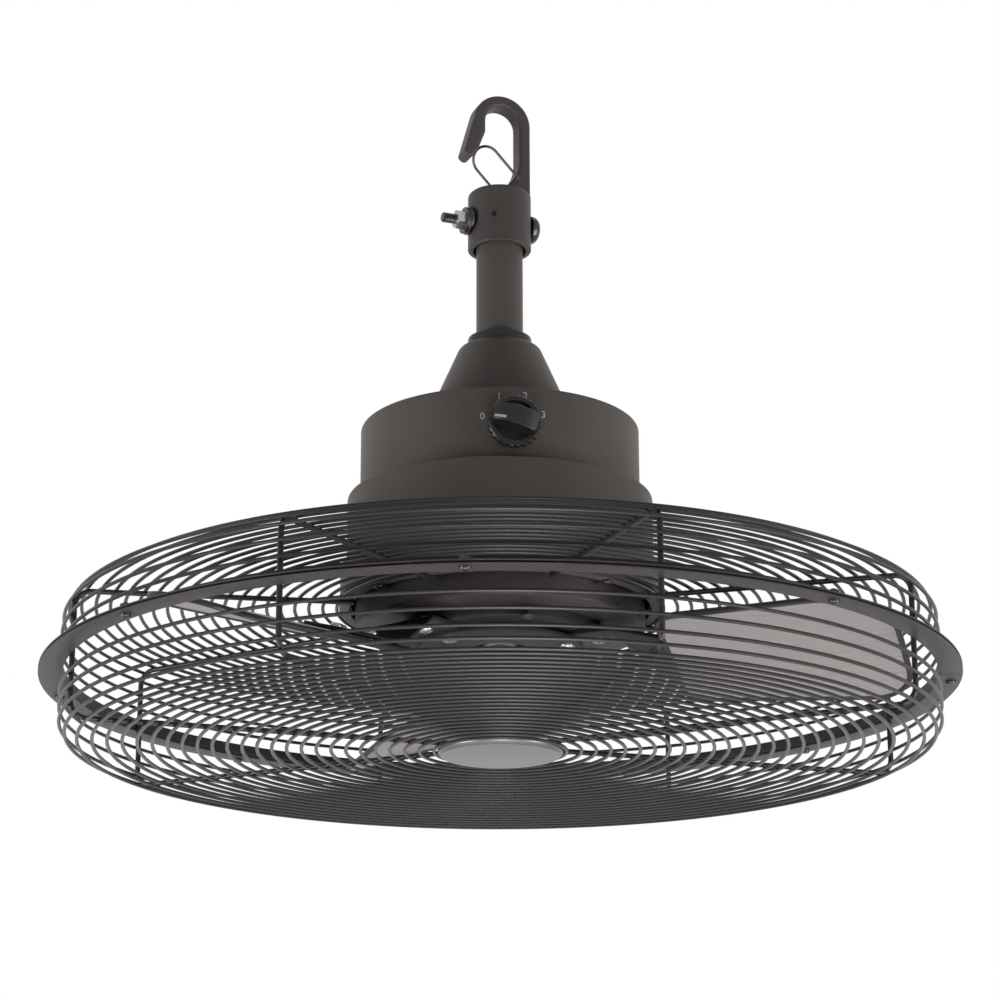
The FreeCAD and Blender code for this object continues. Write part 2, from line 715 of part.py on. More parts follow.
def speed_knob():
    """Moulded knob: scalloped skirt, dished face and a finger bar with a crowned top."""
    face_radius = knob_radius * knob_face_ratio
    dish = knob_rim_height / 2
    skirt = turned([(0, 0, 0), (knob_radius, 0, 0), (knob_radius, knob_rim_height * knob_rim_straight, 0),
                    (knob_radius * knob_rim_ratio, knob_rim_height, 0), (face_radius, knob_rim_height, 0),
                    (face_radius * knob_dish_ratio, dish, 0), (0, dish, 0)])
    for i in range(knob_scallops):
        a = 2 * math.pi * i / knob_scallops
        reach = knob_radius + knob_scallop_out
        skirt = skirt.cut(Part.makeCylinder(knob_scallop_radius, knob_rim_height,
                                            Vector(reach * math.cos(a), reach * math.sin(a), 0)))
    width = knob_grip_width / 2
    tip = width * knob_grip_taper
    length = knob_radius * knob_grip_ratio
    root = plate([(-tip, length, knob_grip_corner), (-width, -length, knob_grip_corner),
                  (width, -length, knob_grip_corner), (tip, length, knob_grip_corner)],
                 dish / 2, knob_depth)
    crown_radius = knob_radius * knob_crown_ratio
    crown_z = knob_depth - crown_radius
    crown = rod_between(Vector(-knob_radius, 0, crown_z), Vector(knob_radius, 0, crown_z), crown_radius)
    bar = root.common(crown)
    top_edges = [e for e in bar.Edges if e.CenterOfMass.z > knob_depth / 2]
    bar = bar.makeFillet(knob_edge_radius, top_edges)
    knob = skirt.fuse(bar).removeSplitter()
    hole_depth = knob_depth * knob_hole_ratio
    hole = Part.makeCylinder(spindle_radius + SEAT_GAP, hole_depth)
    flat_side = Part.makeBox(spindle_radius * 4, spindle_radius, hole_depth,
                             Vector(-spindle_radius * 2, spindle_radius * spindle_flat_ratio + SEAT_GAP, 0))
    knob = knob.cut(hole.cut(flat_side))
    seat = Placement(Vector(0, 0, knob_base()), Rotation(Vector(0, 0, 1), knob_rest_angle))
    return moved(moved(knob, seat), outward(knob_angle, knob_z))


def run_capacitor():
    """Capacitor block standing on the floor of the switch housing."""
    length, width, height = capacitor_size
    corner = width / 6
    block = plate([(-length / 2, -width / 2, corner), (length / 2, -width / 2, corner),
                   (length / 2, width / 2, corner), (-length / 2, width / 2, corner)],
                  motor_top, motor_top + height)
    upright = moved(block, Placement(Vector(0, 0, 0), Rotation(Vector(0, 0, 1), 90)))
    return turn(moved(upright, Placement(Vector(capacitor_reach, 0, 0), Rotation())), capacitor_angle)


def cord_gland():
    """Bushing for the supply cord, through the back of the switch housing."""
    inner = switch_radius - shell_wall - gland_inner_length
    outer = switch_radius + gland_flange_height
    body = turned([
        (gland_bore_radius, inner, 0), (gland_body_radius, inner, 0),
        (gland_body_radius, switch_radius, 0), (gland_flange_radius, switch_radius, 0),
        (gland_body_radius, outer, (gland_body_radius - gland_bore_radius) / 2),
        (gland_bore_radius, outer, 0)])
    return moved(body, outward(gland_angle, knob_z))


def gland_nut():
    """Nut inside the shell that holds the gland."""
    inside = switch_radius - shell_wall
    nut_corner = gland_nut_flats / math.sqrt(3)
    wall = math.sqrt(inside ** 2 - nut_corner ** 2) - SEAT_GAP
    return moved(hex_nut(gland_nut_flats, gland_body_radius, wall - gland_nut_height, wall),
                 outward(gland_angle, knob_z))


def motor_housing():
    """Drawn shell of the motor: top plate, straight wall, wider band and a turned-in bottom."""
    band_top = motor_bottom + motor_band_height
    step_top = band_top + motor_band_step
    inner = motor_radius - shell_wall
    band_inner = motor_band_radius - shell_wall
    inner_round = motor_round_radius - shell_wall
    body = turned([
        (shaft_hole_radius, motor_top, 0), (motor_radius, motor_top, top_edge_radius),
        (motor_radius, step_top, motor_band_blend), (motor_band_radius, band_top, motor_band_blend),
        (motor_band_radius, motor_bottom, motor_round_radius), (motor_opening_radius, motor_bottom, 0),
        (motor_opening_radius, motor_bottom + shell_wall, 0),
        (band_inner, motor_bottom + shell_wall, inner_round), (band_inner, band_top, motor_band_blend),
        (inner, step_top, motor_band_blend), (inner, motor_top - top_plate, 0),
        (shaft_hole_radius, motor_top - top_plate, 0)])
    return body.cut(Part.makeCompound(mount_screw_holes()))


def mount_screw_shapes(radius):
    """One cylinder per guard mounting screw, through the plate and the housing's lip."""
    circle = motor_opening_radius + mount_screw_inset
    reach = mount_plate_sheet + shell_wall
    hole = Part.makeCylinder(radius, reach * 2, Vector(circle, 0, motor_bottom - reach))
    return around(hole, mount_screw_count, rib_start + 180.0 / rib_count)


def mount_screw_holes():
    return mount_screw_shapes(mount_screw_radius + HOLE_GAP)


def guard_mount_plate():
    """Ring under the motor housing that carries the inner ends of the upper ribs."""
    body = ring(mount_plate_radius, motor_opening_radius, motor_bottom - mount_plate_sheet, motor_bottom)
    return body.cut(Part.makeCompound(mount_screw_holes()))


def guard_mount_screws():
    """Screws up through the mounting ring into the housing's lip."""
    screw = pan_screw(mount_screw_radius, mount_plate_sheet + shell_wall * 2)
    place = Placement(Vector(motor_opening_radius + mount_screw_inset, 0, motor_bottom - mount_plate_sheet),
                      Rotation())
    return Part.makeCompound(around(moved(screw, place), mount_screw_count, rib_start + 180.0 / rib_count))


def motor_shaft():
    """Fixed hollow shaft: bearing seats, stator seat, flange under the top plate, thread end."""
    low = bell_bottom - shaft_bore_radius / 2
    shoulder_low = bell_bottom + bearing_inset + bearing_height + MOVE_GAP
    shoulder_high = bell_top - bearing_inset - bearing_height - MOVE_GAP
    flange_high = motor_top - top_plate
    flange_low = flange_high - shaft_flange_height
    high = switch_top + shaft_thread
    return turned([
        (shaft_bore_radius, low, 0), (shaft_radius, low, 0), (shaft_radius, shoulder_low, 0),
        (shaft_shoulder_radius, shoulder_low, 0), (shaft_shoulder_radius, shoulder_high, 0),
        (shaft_radius, shoulder_high, 0), (shaft_radius, flange_low, 0), (shaft_flange_radius, flange_low, 0),
        (shaft_flange_radius, flange_high, 0), (shaft_radius, flange_high, 0), (shaft_radius, high, 0),
        (shaft_bore_radius, high, 0)])


def shaft_clip():
    """Retaining ring under the lower bearing."""
    high = bell_bottom + bearing_inset - SEAT_GAP
    return ring(clip_ring_radius, shaft_radius, high - clip_ring_height, high)


def bearing(low):
    """Ball bearing with a step between its races and the shield."""
    high = low + bearing_height
    inner = shaft_radius + RUN_FIT
    step = bearing_race / 6
    return turned([
        (inner, low, 0), (inner + bearing_race, low, 0), (inner + bearing_race, low + step, 0),
        (bearing_radius - bearing_race, low + step, 0), (bearing_radius - bearing_race, low, 0),
        (bearing_radius, low, 0), (bearing_radius, high, 0), (bearing_radius - bearing_race, high, 0),
        (bearing_radius - bearing_race, high - step, 0), (inner + bearing_race, high - step, 0),
        (inner + bearing_race, high, 0), (inner, high, 0)])


def bell_screw_holes(radius):
    """Lugs' screw places, through both bells."""
    circle = rotor_outer_radius - rotor_thickness / 2
    hole = Part.makeCylinder(radius, bell_height, Vector(circle, 0, bell_bottom))
    return around(hole, bell_screw_count, blade_start + 180.0 / blade_count)


def lower_bell():
    """Cast bottom cover of the rotor: cup with a bearing hub."""
    floor = bell_bottom + bell_wall
    hub_top = bell_bottom + bearing_inset + bearing_height
    mouth = (clip_ring_radius + bearing_radius) / 2
    cup = turned([
        (mouth, bell_bottom, 0), (bell_radius, bell_bottom, bell_edge_radius), (bell_radius, bell_joint, 0),
        (rotor_outer_radius, bell_joint, 0), (rotor_outer_radius, floor, 0), (bell_hub_radius, floor, 0),
        (bell_hub_radius, hub_top, 0), (bearing_radius, hub_top, 0),
        (bearing_radius, bell_bottom + bearing_inset, 0), (mouth, bell_bottom + bearing_inset, 0)])
    holes = arm_screw_holes() + bell_screw_holes(bell_screw_radius + HOLE_GAP)
    return cup.cut(Part.makeCompound(holes))


def upper_bell():
    """Cast top cover of the rotor, with its bearing hub and cooling slots."""
    floor = bell_top - bell_wall
    hub_low = bell_top - bearing_inset - bearing_height
    mouth = shaft_radius + MOVE_GAP
    cup = turned([
        (mouth, bell_top, 0), (bell_radius, bell_top, bell_crown_radius), (bell_radius, bell_joint, 0),
        (rotor_outer_radius, bell_joint, 0),
        (rotor_outer_radius, floor, bell_crown_radius - bell_wall), (bell_hub_radius, floor, 0),
        (bell_hub_radius, hub_low, 0), (bearing_radius, hub_low, 0),
        (bearing_radius, bell_top - bearing_inset, 0), (mouth, bell_top - bearing_inset, 0)])
    start = bell_hub_radius + vent_margin
    end = rotor_inner_radius - vent_margin
    side = vent_width / 2
    slot = plate([(start, -side, vent_corner_radius), (end, -side, vent_corner_radius),
                  (end, side, vent_corner_radius), (start, side, vent_corner_radius)],
                 floor - bell_wall, bell_top + bell_wall)
    holes = around(slot, 2 * bell_screw_count, blade_start) + bell_screw_holes(bell_screw_radius + HOLE_GAP)
    return cup.cut(Part.makeCompound(holes))


def bell_screws():
    """Long screws that hold the two bells and the rotor ring together."""
    screw = pan_screw(bell_screw_radius, bell_height)
    place = Placement(Vector(rotor_outer_radius - rotor_thickness / 2, 0, bell_bottom), Rotation())
    return Part.makeCompound(around(moved(screw, place), bell_screw_count, blade_start + 180.0 / blade_count))


def rotor_ring():
    """Laminated rotor ring, held between the bells."""
    low = bell_joint - rotor_height / 2
    body = ring(rotor_outer_radius, rotor_inner_radius, low, low + rotor_height)
    return body.cut(Part.makeCompound(bell_screw_holes(bell_screw_radius + HOLE_GAP)))


def stator_core():
    """Slotted stator stack on the fixed shaft."""
    low = bell_joint - stator_height / 2
    body = ring(stator_radius, shaft_shoulder_radius, low, low + stator_height)
    back = stator_radius - slot_depth
    lip = stator_radius - slot_width / 3
    past = stator_radius + slot_width / 6
    half = slot_width / 2
    mouth = slot_width / 6
    corner = slot_width / 3
    slot = plate([(back, -half, corner), (lip, -half, 0), (lip, -mouth, 0), (past, -mouth, 0),
                  (past, mouth, 0), (lip, mouth, 0), (lip, half, 0), (back, half, corner)],
                 low, low + stator_height)
    return body.cut(Part.makeCompound(around(slot, stator_slots, 0)))


def stator_windings():
    """End turns of the windings, above and below the stack."""
    ends = []
    for side in (-1, 1):
        near = bell_joint + side * stator_height / 2
        far = near + side * winding_height
        ends.append(turned([(winding_inner_radius, near, 0), (winding_outer_radius, near, 0),
                            (winding_outer_radius, far, winding_height / 3),
                            (winding_inner_radius, far, winding_height / 3)]))
    return Part.makeCompound(ends)


def pitched(shape, angle):
    """Put a piece from the blade's own plane on the pitch axis at an angle."""
    lift = Placement(Vector(0, 0, blade_z), Rotation(Vector(1, 0, 0), -blade_pitch))
    return turn(moved(shape, lift), angle)


def blade_curve_radius():
    chord = blade_lead + blade_trail_tip
    return chord ** 2 / (8 * blade_camber)


def blade_underside(across):
    """Height of the blade's hollow underside in its own plane, at a distance from the pitch axis."""
    curve = blade_curve_radius()
    inner = curve - blade_thickness
    return math.sqrt(inner ** 2 - across ** 2) - curve + blade_thickness / 2


def blade_screw_shapes(radius, low, high):
    return [Part.makeCylinder(radius, high - low, Vector(x, y, low)) for x, y in blade_screw_places]


def blade_blank():
    """One blade in its own plane: a thin curved sheet cut to the rounded plan form."""
    curve = blade_curve_radius()
    axis_z = blade_thickness / 2 - curve
    start = Vector(blade_root - blade_root_radius, 0, axis_z)
    end = Vector(blade_tip + blade_root_radius, 0, axis_z)
    sheet = rod_between(start, end, curve).cut(rod_between(start, end, curve - blade_thickness))
    depth = blade_camber * 3
    plan = plate([(blade_root, -blade_lead, blade_root_radius),
                  (blade_tip, -blade_lead, blade_corner_radius),
                  (blade_tip, blade_trail_tip, blade_corner_radius),
                  (blade_root, blade_trail_root, blade_root_radius)], -depth, depth)
    sheet = sheet.common(plan)
    return sheet.cut(Part.makeCompound(blade_screw_shapes(blade_screw_radius + HOLE_GAP, -depth, depth)))


def pad_top():
    """Top of the arm's pad, against the blade's underside at the pad's edges."""
    return blade_underside(arm_pad_width / 2) - SEAT_GAP


def arm_screw_holes():
    """Screw places of all arms, through clamp plate, feet and bell."""
    reach = arm_thickness + clamp_height
    holes = []
    for angle in blade_angles():
        for radius in arm_screw_radii:
            hole = Part.makeCylinder(arm_screw_radius + HOLE_GAP, reach * 3,
                                     Vector(radius, 0, bell_bottom - reach * 1.5))
            holes.append(turn(hole, angle))
    return holes


def blade_angles():
    return [blade_start + i * 360.0 / blade_count for i in range(blade_count)]


def blade_arm(angle):
    """Pressed arm: flat foot under the bell, twisted neck and a pad under the blade."""
    half_foot = arm_foot_width / 2
    half_pad = arm_pad_width / 2
    foot_top = bell_bottom
    foot_low = foot_top - arm_thickness
    half_end = half_foot * arm_foot_taper
    foot = plate([(arm_foot_inner, -half_end, arm_foot_corner), (arm_foot_outer, -half_foot, 0),
                  (arm_foot_outer, half_foot, 0), (arm_foot_inner, half_end, arm_foot_corner)],
                 foot_low, foot_top)
    top = pad_top()
    low = top - arm_thickness
    pad = plate([(arm_pad_start, -half_pad, 0), (arm_pad_end, -half_pad, arm_corner_radius),
                 (arm_pad_end, half_pad, arm_corner_radius), (arm_pad_start, half_pad, 0)], low, top)
    pad = pad.cut(Part.makeCompound(blade_screw_shapes(blade_screw_radius + HOLE_GAP, low, top)))
    lift = Placement(Vector(0, 0, blade_z), Rotation(Vector(1, 0, 0), -blade_pitch))

    def section(x, half, bottom, upper, place):
        corners = [place.multVec(Vector(x, y, z)) for y, z in
                   ((-half, bottom), (half, bottom), (half, upper), (-half, upper), (-half, bottom))]
        return Part.makePolygon(corners)

    foot_end = section(arm_foot_outer, half_foot, foot_low, foot_top, Placement())
    pad_end = section(arm_pad_start, half_pad, low, top, lift)
    neck = Part.makeLoft([foot_end, pad_end], True, True)
    arm = turn(foot.fuse(neck).fuse(moved(pad, lift)).removeSplitter(), angle)
    return arm.cut(Part.makeCompound(arm_screw_holes()))


def arm_clamp_plate():
    """Ring under the feet of the arms, screwed up into the bell."""
    high = bell_bottom - arm_thickness
    low = high - clamp_height
    body = turned([(clamp_inner_radius, low, 0), (clamp_outer_radius, low, clamp_edge_radius),
                   (clamp_outer_radius, high, 0), (clamp_inner_radius, high, 0)])
    return body.cut(Part.makeCompound(arm_screw_holes()))


def arm_screws():
    """Screws through the clamp plate and feet; the outer ones hold the feet alone."""
    screws = []
    for angle in blade_angles():
        for radius in arm_screw_radii:
            under = arm_thickness + (clamp_height if radius < clamp_outer_radius else 0)
            screw = pan_screw(arm_screw_radius, under + bell_wall + arm_screw_radius / 2)
            seat = Placement(Vector(radius, 0, bell_bottom - under), Rotation())
            screws.append(turn(moved(screw, seat), angle))
    return Part.makeCompound(screws)


def blade_screws():
    """Screws up through each pad and blade."""
    screws = []
    low = pad_top() - arm_thickness
    for angle in blade_angles():
        for x, y in blade_screw_places:
            screw = pan_screw(blade_screw_radius, arm_thickness + blade_thickness * 2)
            screws.append(pitched(moved(screw, Placement(Vector(x, y, low), Rotation())), angle))
    return Part.makeCompound(screws)


def upper_rib_line(radius):
    """Height of the upper ribs' centre line at a radius, rising to the mounting ring."""
    return rib_seat_z - (radius - mount_plate_radius) * math.tan(guard_slope)


def upper_bend():
    """Centre height of the upper ribs' corner bend and its end point on the sloping run."""
    end_r = rib_bend_center + rib_bend_radius * math.sin(guard_slope)
    end_z = upper_rib_line(end_r)
    return end_z - rib_bend_radius * math.cos(guard_slope), end_r, end_z


def upper_guard_ribs():
    """Bent wires: up the wall, round the corner and in to the mounting ring."""
    center_z, end_r, end_z = upper_bend()
    middle = (math.pi / 2 - guard_slope) / 2
    inner = top_ring_inner - ring_wire_radius / 2
    bend = Part.Arc(Vector(rib_wall_radius, 0, center_z),
                    Vector(rib_bend_center + rib_bend_radius * math.cos(middle), 0,
                           center_z + rib_bend_radius * math.sin(middle)),
                    Vector(end_r, 0, end_z))
    edges = [
        Part.LineSegment(Vector(rib_wall_radius, 0, rim_z + SEAT_GAP),
                         Vector(rib_wall_radius, 0, center_z)).toShape(),
        bend.toShape(),
        Part.LineSegment(Vector(end_r, 0, end_z), Vector(inner, 0, upper_rib_line(inner))).toShape(),
    ]
    return Part.makeCompound(around(wire_bar(edges, rib_wire_radius), rib_count, rib_start))


def ring_wire(radius, height):
    """One closed ring of guard wire."""
    return Part.makeTorus(radius, ring_wire_radius, Vector(0, 0, height))


def off_bend(distance):
    """How far a ring's centre lies from the bend's centre, across a distance along the other axis."""
    return math.sqrt(ring_bend_radius ** 2 - max(distance, 0) ** 2)


def corner_offset():
    return ring_bend_radius * math.sqrt(0.5)


def upper_guard_rings():
    """Rings over the upper ribs, from the motor housing out to the corner."""
    pitch = (top_ring_outer - top_ring_inner) / (top_ring_count - 1)
    center_z, end_r, _ = upper_bend()
    rings = []
    for i in range(top_ring_count):
        radius = top_ring_inner + i * pitch
        height = upper_rib_line(radius) + wire_step / math.cos(guard_slope)
        if radius > end_r:
            height = center_z + off_bend(radius - rib_bend_center)
        rings.append(ring_wire(radius, height))
    rings.append(ring_wire(rib_bend_center + corner_offset(), center_z + corner_offset()))
    return Part.makeCompound(rings)


def upper_wall_rings():
    """Rings round the outside of the upper ribs, the top one on their bend."""
    center_z, _, _ = upper_bend()
    rings = []
    for i in range(wall_ring_count):
        height = rim_z + upper_wall_ring_lift + i * wall_ring_pitch
        rings.append(ring_wire(rib_bend_center + off_bend(height - center_z), height))
    return Part.makeCompound(rings)


def rim_screw_holes():
    hole = Part.makeCylinder(rim_screw_radius + HOLE_GAP, rim_sheet * 4,
                             Vector(rim_screw_circle, 0, rim_z - rim_sheet * 2))
    return around(hole, rib_count, rib_start + 180.0 / rib_count)


def upper_rim():
    """Rolled angle rim of the upper guard: flat flange and an upright leg for the ribs."""
    flange_top = rim_z + rim_sheet
    leg_top = rim_z + rim_leg_height
    body = turned([
        (rim_inner_radius, rim_z, 0), (rim_outer_radius, rim_z, 0), (rim_outer_radius, flange_top, 0),
        (rim_inner_radius + rim_sheet, flange_top, rim_fold_radius),
        (rim_inner_radius + rim_sheet, leg_top, 0),
        (rim_inner_radius, leg_top, 0)])
    return body.cut(Part.makeCompound(rim_screw_holes()))


def lower_rim():
    """Flat rim of the lower guard."""
    body = ring(rim_outer_radius, rim_inner_radius, rim_z - rim_sheet, rim_z)
    return body.cut(Part.makeCompound(rim_screw_holes()))


def rim_screws():
    """Screws that hold the two rims together, heads below."""
    screw = pan_screw(rim_screw_radius, rim_sheet * 2 + rim_nut_height + rim_screw_radius / 2)
    place = Placement(Vector(rim_screw_circle, 0, rim_z - rim_sheet), Rotation())
    return Part.makeCompound(around(moved(screw, place), rib_count, rib_start + 180.0 / rib_count))


def rim_nuts():
    """Nuts on the rim screws."""
    low = rim_z + rim_sheet
    nut = moved(hex_nut(rim_nut_flats, rim_screw_radius, low, low + rim_nut_height),
                Placement(Vector(rim_screw_circle, 0, 0), Rotation()))
    return Part.makeCompound(around(nut, rib_count, rib_start + 180.0 / rib_count))


def lower_guard_ribs():
    """Bent wires: down the wall, round the corner and in over the centre cap."""
    diagonal = rib_bend_radius * math.sqrt(0.5)
    bend = Part.Arc(Vector(rib_wall_radius, 0, lower_bend_z),
                    Vector(rib_bend_center + diagonal, 0, lower_bend_z - diagonal),
                    Vector(rib_bend_center, 0, lower_rib_z))
    edges = [
        Part.LineSegment(Vector(rib_wall_radius, 0, rim_z - SEAT_GAP),
                         Vector(rib_wall_radius, 0, lower_bend_z)).toShape(),
        bend.toShape(),
        Part.LineSegment(Vector(rib_bend_center, 0, lower_rib_z),
                         Vector(cap_radius - rib_on_cap, 0, lower_rib_z)).toShape(),
    ]
    return Part.makeCompound(around(wire_bar(edges, rib_wire_radius), rib_count, rib_start))


def lower_wall_rings():
    """Rings round the outside of the lower ribs, the last one on their corner."""
    rings = []
    for i in range(wall_ring_count):
        height = rim_z - lower_wall_ring_drop - i * wall_ring_pitch
        rings.append(ring_wire(rib_bend_center + off_bend(lower_bend_z - height), height))
    rings.append(ring_wire(rib_bend_center + corner_offset(), lower_bend_z - corner_offset()))
    return Part.makeCompound(rings)


def bottom_rings(first, last):
    """Flat rings under the lower ribs, counted from the centre."""
    rings = []
    for i in range(first, last):
        radius = bottom_ring_inner + i * bottom_ring_pitch
        rings.append(ring_wire(radius, lower_bend_z - off_bend(radius - rib_bend_center)))
    return Part.makeCompound(rings)


def centre_cap():
    """Shallow turned cap in the middle of the lower guard, under the ribs' ends."""
    face = bottom_z - cap_drop
    high = lower_rib_z - rib_wire_radius - SEAT_GAP
    bevel = cap_radius - cap_face_radius
    return turned([(0, face, 0), (cap_face_radius, face, 0), (cap_radius, face + bevel, 0),
                   (cap_radius, high, 0), (0, high, 0)])


def build():
    """Every sub-part by its node name."""
    parts = {
        "hook": hook(),
        "hook_gate": gate(),
        "hook_bolt": hook_bolt(),
        "hook_bolt_washers": hook_bolt_washers(),
        "hook_nut": hook_nut(),
        "collar_set_screw": collar_set_screw(),
        "downrod": downrod(),
        "rod_seal": rod_seal(),
        "yoke_cover": yoke_cover(),
        "rod_coupling": rod_coupling(),
        "coupling_pin": coupling_pin(),
        "coupling_clip": coupling_clip(),
        "switch_housing": switch_housing(),
        "spacer_sleeve": spacer_sleeve(),
        "speed_switch": speed_switch(),
        "switch_nut": switch_nut(),
        "switch_spindle": switch_spindle(),
        "speed_knob": speed_knob(),
        "run_capacitor": run_capacitor(),
        "cord_gland": cord_gland(),
        "gland_nut": gland_nut(),
        "motor_housing": motor_housing(),
        "motor_shaft": motor_shaft(),
        "shaft_clip": shaft_clip(),
        "lower_bearing": bearing(bell_bottom + bearing_inset),
        "upper_bearing": bearing(bell_top - bearing_inset - bearing_height),
        "stator_core": stator_core(),
        "stator_windings": stator_windings(),
        "rotor_ring": rotor_ring(),
        "lower_bell": lower_bell(),
        "upper_bell": upper_bell(),
        "bell_screws": bell_screws(),
        "arm_clamp_plate": arm_clamp_plate(),
        "arm_screws": arm_screws(),
        "blade_screws": blade_screws(),
        "guard_mount_plate": guard_mount_plate(),
        "guard_mount_screws": guard_mount_screws(),
        "upper_guard_ribs": upper_guard_ribs(),
        "upper_guard_rings": upper_guard_rings(),
        "upper_wall_rings": upper_wall_rings(),
        "upper_rim": upper_rim(),
        "lower_rim": lower_rim(),
        "rim_screws": rim_screws(),
        "rim_nuts": rim_nuts(),
        "lower_guard_ribs": lower_guard_ribs(),
        "lower_wall_rings": lower_wall_rings(),
        "lower_inner_rings": bottom_rings(0, inner_ring_count),
        "lower_outer_rings": bottom_rings(inner_ring_count, bottom_ring_count),
        "centre_cap": centre_cap(),
    }
    blank = blade_blank()
    for number, angle in enumerate(blade_angles(), start=1):
        parts[f"blade_{number}"] = pitched(blank, angle)
        parts[f"blade_arm_{number}"] = blade_arm(angle)
    return parts


os.makedirs("parts", exist_ok=True)
for node, shape in build().items():
    shape.exportStep(f"parts/{node}.step")
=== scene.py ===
import math

import bmesh
import bpy
from bmesh.types import BMEdge, BMFace, BMVert
from mathutils import Matrix, Vector

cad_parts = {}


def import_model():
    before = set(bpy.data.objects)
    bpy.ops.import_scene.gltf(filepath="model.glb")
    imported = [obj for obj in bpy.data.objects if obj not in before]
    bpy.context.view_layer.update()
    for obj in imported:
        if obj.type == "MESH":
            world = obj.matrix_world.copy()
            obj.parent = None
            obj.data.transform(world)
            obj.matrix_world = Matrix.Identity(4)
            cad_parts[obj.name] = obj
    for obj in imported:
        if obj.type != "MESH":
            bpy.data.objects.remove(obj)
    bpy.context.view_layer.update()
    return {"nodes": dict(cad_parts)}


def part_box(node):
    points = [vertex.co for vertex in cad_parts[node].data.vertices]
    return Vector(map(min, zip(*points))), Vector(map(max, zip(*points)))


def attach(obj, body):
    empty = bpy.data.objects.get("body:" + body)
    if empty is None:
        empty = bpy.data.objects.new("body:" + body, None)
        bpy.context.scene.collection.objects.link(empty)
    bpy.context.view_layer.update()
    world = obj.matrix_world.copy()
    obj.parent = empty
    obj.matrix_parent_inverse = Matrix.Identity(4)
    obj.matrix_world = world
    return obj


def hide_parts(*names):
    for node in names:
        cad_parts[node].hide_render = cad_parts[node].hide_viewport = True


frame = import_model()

# Pieces are modelled in millimetres in the frame's axes and scaled to metres when finished.
MM = 0.001
LOW, HIGH = 0, 1

# How near points are merged or matched, which angles count as sharp, and the steps of a full turn
MERGE = 1e-4
MATCH = 1e-3
SHARP_DEGREES = 35.0
CREASE_RADIANS = 1.0
ROUND_STEPS = 192


def level(node, end):
    """Lowest or highest Z of a solid, in millimetres."""
    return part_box(node)[end].z / MM


def reach(node):
    """Largest X of a solid that is round about the fan's axis, in millimetres."""
    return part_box(node)[HIGH].x / MM


def middle(node):
    """Middle of a solid's box, in millimetres."""
    low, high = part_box(node)
    return (low + high) / 2 / MM


# Levels, from the hook down
SEAL_TOP = level("rod_seal", HIGH)
COVER_TOP = level("yoke_cover", HIGH)
SWITCH_TOP = level("switch_housing", HIGH)
MOTOR_TOP = level("motor_housing", HIGH)
MOTOR_BOTTOM = level("motor_housing", LOW)
RIM_Z = level("lower_rim", HIGH)
LOWER_RIB_Z = level("lower_guard_ribs", LOW)
BELL_BOTTOM = level("lower_bell", LOW)
CAP_FACE = level("centre_cap", LOW)
CAP_TOP = level("centre_cap", HIGH)

# Hook, cross bolt and rod
HOOK_TURN = 22.0
COLLAR_RADIUS = 18.2
BOLT_Z = middle("hook_nut").z
BOLT_RADIUS = 3.0
BOLT_HEAD_RADIUS = 8.2
BOLT_HEAD_HEIGHT = 5.5
BOLT_HEAD_DOME = BOLT_HEAD_HEIGHT * 0.85
BOLT_END = 35.4
BOLT_STEPS = 36
LOCK_WASHER = 2.6
LOCK_WASHER_RADIUS = 8.2
LOCK_WASHER_BACK_EDGE = 0.5
LOCK_WASHER_FRONT_EDGE = 0.7
PLAIN_WASHER = 1.6
PLAIN_WASHER_RADIUS = 7.8
PLAIN_WASHER_EDGE = 0.3
WASHER_BORE = BOLT_RADIUS + 0.15
WASHER_STEPS = 64
THREAD_PITCH = 1.0
THREAD_DEPTH = 0.5
ROD_RADIUS = reach("downrod")
ROD_WALL = 2.6
ROD_EDGE = 0.5
ROD_STEPS = 96

# Housings
SEAL_RADIUS = reach("rod_seal")
SEAL_BORE = ROD_RADIUS + 0.05
SEAL_LOW_EDGE = 0.4
SEAL_TOP_EDGE = 0.9
SEAL_BORE_EDGE = 0.2
COVER_BORE = ROD_RADIUS + 0.5
COVER_TOP_RADIUS = 22.4
COVER_BASE_RADIUS = reach("yoke_cover")
COVER_SHOULDER = 4.0
COVER_EDGE = 0.3
COVER_WALL = 1.3
COVER_STEPS = 160
SHAFT_HOLE = 8.55
SWITCH_RADIUS = reach("switch_housing")
SWITCH_LOW_EDGE = 0.4
MOTOR_BAND_RADIUS = reach("motor_housing")
MOTOR_RADIUS = MOTOR_BAND_RADIUS - 3.4
MOTOR_BAND_HEIGHT = 27.6
MOTOR_BAND_STEP = 2.5
MOTOR_BAND_EDGE = 1.2
MOTOR_LIP = MOTOR_BOTTOM + 6.5
MOTOR_LIP_EDGE = 0.3
MOTOR_ROUND = 5.5
MOTOR_OPENING = 82.6
TOP_EDGE = 1.6
SHELL_WALL = 1.5

# Bottom of the rotor
ROTOR_RADIUS = 80.0
ROTOR_LOW = MOTOR_BOTTOM - 8.0
ROTOR_TOP = MOTOR_BOTTOM + 11.0
ROTOR_SHEET = 2.0
ROTOR_EDGE = 1.8
ROTOR_HOLE_EDGE = 0.5
HUB_RADIUS = 56.0
HUB_GAP = 0.5
HUB_EDGE = 2.0
HUB_HOLE = 16.0
HUB_HOLE_EDGE = 0.4
HUB_STEPS = 128

